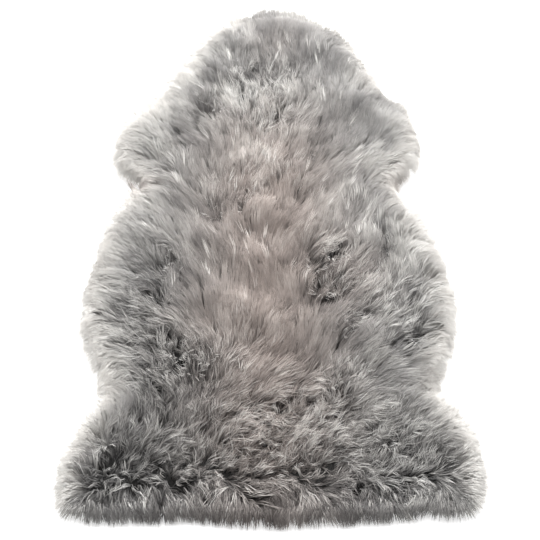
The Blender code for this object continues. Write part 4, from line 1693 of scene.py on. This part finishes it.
# Colours from dark to pale, each at its place on the map.
COOL_GREYS = ((0.0, (0.052, 0.050, 0.049)), (0.3, (0.190, 0.184, 0.181)), (0.55, (0.371, 0.362, 0.350)),
              (0.8, (0.667, 0.652, 0.620)), (1.0, (0.95, 0.938, 0.910)))
WARM_GREYS = ((0.0, (0.078, 0.064, 0.058)), (0.3, (0.22, 0.181, 0.163)), (0.55, (0.415, 0.350, 0.316)),
              (0.8, (0.70, 0.625, 0.58)), (1.0, (0.95, 0.91, 0.86)))
# Darker towards the root: dust and grease, and painted shade.
ROOT_DIRT_AND_SHADE = ((0.0, (0.05, 0.05, 0.05)), (0.40, (0.42, 0.42, 0.42)), (0.75, (0.85, 0.85, 0.85)),
               (1.0, (1.0, 1.0, 1.0)))


def wool_finish():
    """Grey wool, coloured from the strand's own place in the map."""
    material, nodes, links, surface = new_finish("long wool", 0.72, 0.25)
    surface.inputs["Sheen Weight"].default_value = SHEEN
    surface.inputs["Sheen Roughness"].default_value = SHEEN_ROUGHNESS
    uv = nodes.new("ShaderNodeUVMap")
    uv.uv_map = "OFBake"
    split = nodes.new("ShaderNodeSeparateXYZ")
    links.new(uv.outputs["UV"], split.inputs[0])
    banded = calculated(nodes, links, "MULTIPLY", split.outputs["X"], WARM_BANDS)
    warm = calculated(nodes, links, "DIVIDE", calculated(nodes, links, "FLOOR", banded), WARM_BANDS - 1)
    pale = calculated(nodes, links, "FRACT", banded)
    cool_grey, warm_grey = ramp(nodes, links, pale, COOL_GREYS), ramp(nodes, links, pale, WARM_GREYS)
    grey = mixed(nodes, links, warm, cool_grey, warm_grey)
    shade = ramp(nodes, links, split.outputs["Y"], ROOT_DIRT_AND_SHADE)
    links.new(mixed(nodes, links, 1.0, grey, shade, "MULTIPLY"), surface.inputs["Base Color"])
    return material


long_wool = wool_finish()
for piece in wool:
    piece.data.materials.append(long_wool)
print("long wool on", len(wool), "pieces")

# %% [markdown]
# ## Underwool and suede
# The underwool shows only at the bottom of the gaps. There it is painted nearly black, as painted shade, a
# tangle of fibres finer than a mesh could show, so the tangle is a pattern: a stretched and distorted cloud
# for the fibres, and a coarser one for tufts. Seen from below, its rim shows round the hide, and there it is
# a plain mid grey. The underside of the hide is suede. It is a warm off-white, mottled, with a fine nap, and
# a little darker where the skin is thick. Both have no strands of their own, so the fine relief is a bump.

# %% Underwool
# Painted shade: the underwool between the locks is coloured nearly black.
SHADED_FIBRES = ((0.30, (0.010, 0.0097, 0.0095)), (0.52, (0.035, 0.034, 0.033)), (0.72, (0.110, 0.105, 0.100)))
PALE_FIBRES = ((0.30, (0.15, 0.145, 0.14)), (0.52, (0.28, 0.27, 0.26)), (0.72, (0.42, 0.405, 0.39)))
TUFTS = ((0.30, (0.55, 0.55, 0.55)), (0.70, (1.0, 1.0, 1.0)))
PALE_BELOW = 0.0005     # up to this height over its flat base the underwool is pale,
PALE_TO_DARK = 0.0015   # and over this much more it turns to the painted shade
FIBRE_DEPTH = 0.0012


def underwool_finish():
    """A tangle of fibres, painted nearly black between the locks as painted shade, and paler round the edge
    of the hide, seen from below.
    """
    material, nodes, links, surface = new_finish("underwool", 0.9, 0.15)
    fibres = cloudy(nodes, links, 0.0016, 4.0, stretch=(1.0, 0.35, 1.0), distortion=1.6)
    tufts = cloudy(nodes, links, 0.011, 2.0)
    shaded_grey, pale_grey = ramp(nodes, links, fibres, SHADED_FIBRES), ramp(nodes, links, fibres, PALE_FIBRES)
    tuft_grey = ramp(nodes, links, tufts, TUFTS)
    place = nodes.new("ShaderNodeTexCoord")
    split = nodes.new("ShaderNodeSeparateXYZ")
    links.new(place.outputs["Object"], split.inputs[0])
    height = calculated(nodes, links, "SUBTRACT", split.outputs["Z"], MOUND_BASE + PALE_BELOW)
    above = ramp(nodes, links, calculated(nodes, links, "DIVIDE", height, PALE_TO_DARK),
                 ((0.0, (0.0, 0.0, 0.0)), (1.0, (1.0, 1.0, 1.0))))
    grey = mixed(nodes, links, above, pale_grey, shaded_grey)
    links.new(mixed(nodes, links, 1.0, grey, tuft_grey, "MULTIPLY"), surface.inputs["Base Color"])
    roughened(nodes, links, surface, fibres, FIBRE_DEPTH)
    return material


underwool.data.materials.append(underwool_finish())
print("underwool's finish:", underwool.data.materials[0].name)

# %% Suede
SKIN = ((0.30, (0.56, 0.48, 0.40)), (0.50, (0.68, 0.61, 0.53)), (0.72, (0.76, 0.71, 0.64)))
GRAIN = ((0.30, (0.82, 0.82, 0.82)), (0.65, (1.0, 1.0, 1.0)))
NAP_SHEEN, NAP_SHEEN_ROUGHNESS = 0.2, 0.6
NAP_DEPTH = 0.0004


def suede_finish():
    """The tanned flesh side: mottled, warm, with a short nap."""
    material, nodes, links, surface = new_finish("suede", 0.88, 0.2)
    surface.inputs["Sheen Weight"].default_value = NAP_SHEEN
    surface.inputs["Sheen Roughness"].default_value = NAP_SHEEN_ROUGHNESS
    mottle = cloudy(nodes, links, 0.060, 3.0, distortion=0.4)
    nap = cloudy(nodes, links, 0.0012, 3.0, stretch=(1.0, 0.6, 1.0), distortion=0.8)
    skin, grain = ramp(nodes, links, mottle, SKIN), ramp(nodes, links, nap, GRAIN)
    links.new(mixed(nodes, links, 1.0, skin, grain, "MULTIPLY"), surface.inputs["Base Color"])
    roughened(nodes, links, surface, nap, NAP_DEPTH)
    return material


hide.data.materials.append(suede_finish())
print("hide's finish:", hide.data.materials[0].name)

# %% [markdown]
# ## Floor and light
# The rug lies on a pale matt floor that is lit until it is nearly white, so its soft pale edge melts into
# the floor. A broad window light comes in low from the far end and draws the relief of the locks, a ceiling
# light fills from above, and a bright white room softens every shadow. A picture of a room could light it
# from all round as well, but two lamps and a plain white are easier to steer, and need no file.

# %% Floor
FLOOR_HALF = 30.0
FLOOR_DROP = 0.0005     # the floor lies this much below the hide, so the two don't flicker
FLOOR_GLOW = 0.70       # what the floor gives off by itself, as if lit evenly from all round
bpy.ops.object.select_all(action="DESELECT")
bpy.ops.mesh.primitive_plane_add(size=2 * FLOOR_HALF, location=(0.0, 0.0, -FLOOR_DROP))
floor = bpy.context.object
floor.name = "floor"


def floor_finish():
    """Matt paint, very slightly uneven."""
    material, nodes, links, surface = new_finish("pale floor", 0.8, 0.3)
    grain = cloudy(nodes, links, 0.004, 3.0)
    links.new(ramp(nodes, links, grain, ((0.3, (0.79, 0.79, 0.79)), (0.7, (0.81, 0.81, 0.81)))),
              surface.inputs["Base Color"])
    surface.inputs["Emission Color"].default_value = (1.0, 1.0, 1.0, 1.0)
    surface.inputs["Emission Strength"].default_value = FLOOR_GLOW
    return material


floor.data.materials.append(floor_finish())
print("floor", 2 * FLOOR_HALF, "m wide")

# %% Lights
ROOM_BRIGHTNESS = 0.62


def area_light(name, place, aim, size, watts):
    """A white lamp with a rectangular face of the given size, aimed at a point."""
    light = bpy.data.lights.new(name, "AREA")
    light.shape = "RECTANGLE"
    light.size, light.size_y = size
    light.energy = watts
    lamp = bpy.data.objects.new(name, light)
    bpy.context.scene.collection.objects.link(lamp)
    lamp.location = place
    lamp.rotation_euler = (Vector(aim) - Vector(place)).to_track_quat("-Z", "Y").to_euler()


area_light("window light", (0.2, 1.7, 1.4), (0.0, 0.1, 0.0), (2.2, 1.2), 92.0)
area_light("ceiling light", (-0.4, 0.4, 2.6), (0.0, 0.0, 0.0), (2.4, 2.4), 36.0)
world = bpy.data.worlds.new("studio")
bpy.context.scene.world = world
world.use_nodes = True
room = world.node_tree.nodes["Background"]
room.inputs["Color"].default_value = (1.0, 1.0, 1.0, 1.0)
room.inputs["Strength"].default_value = ROOM_BRIGHTNESS
bpy.context.scene.view_settings.view_transform = "Standard"
print("lights:", [lamp.name for lamp in bpy.data.lights])

# %% [markdown]
# ## Fastening
# A sheepskin has no parts that move, so every piece rides on the one body of the frame. The hide is a
# soft skin that lies loose on the floor, and the wool goes where the hide goes. The pieces could be joined
# into one, but the hide would then lose its own finish. The wool takes the place of the imported solid.

# %% Fasten the pieces to the frame
for piece in [hide, underwool] + wool:
    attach(piece, "root")
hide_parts("sheepskin")
print("the wool takes the place of the packed solid, and", 1 + len(wool), "pieces lie on the hide")
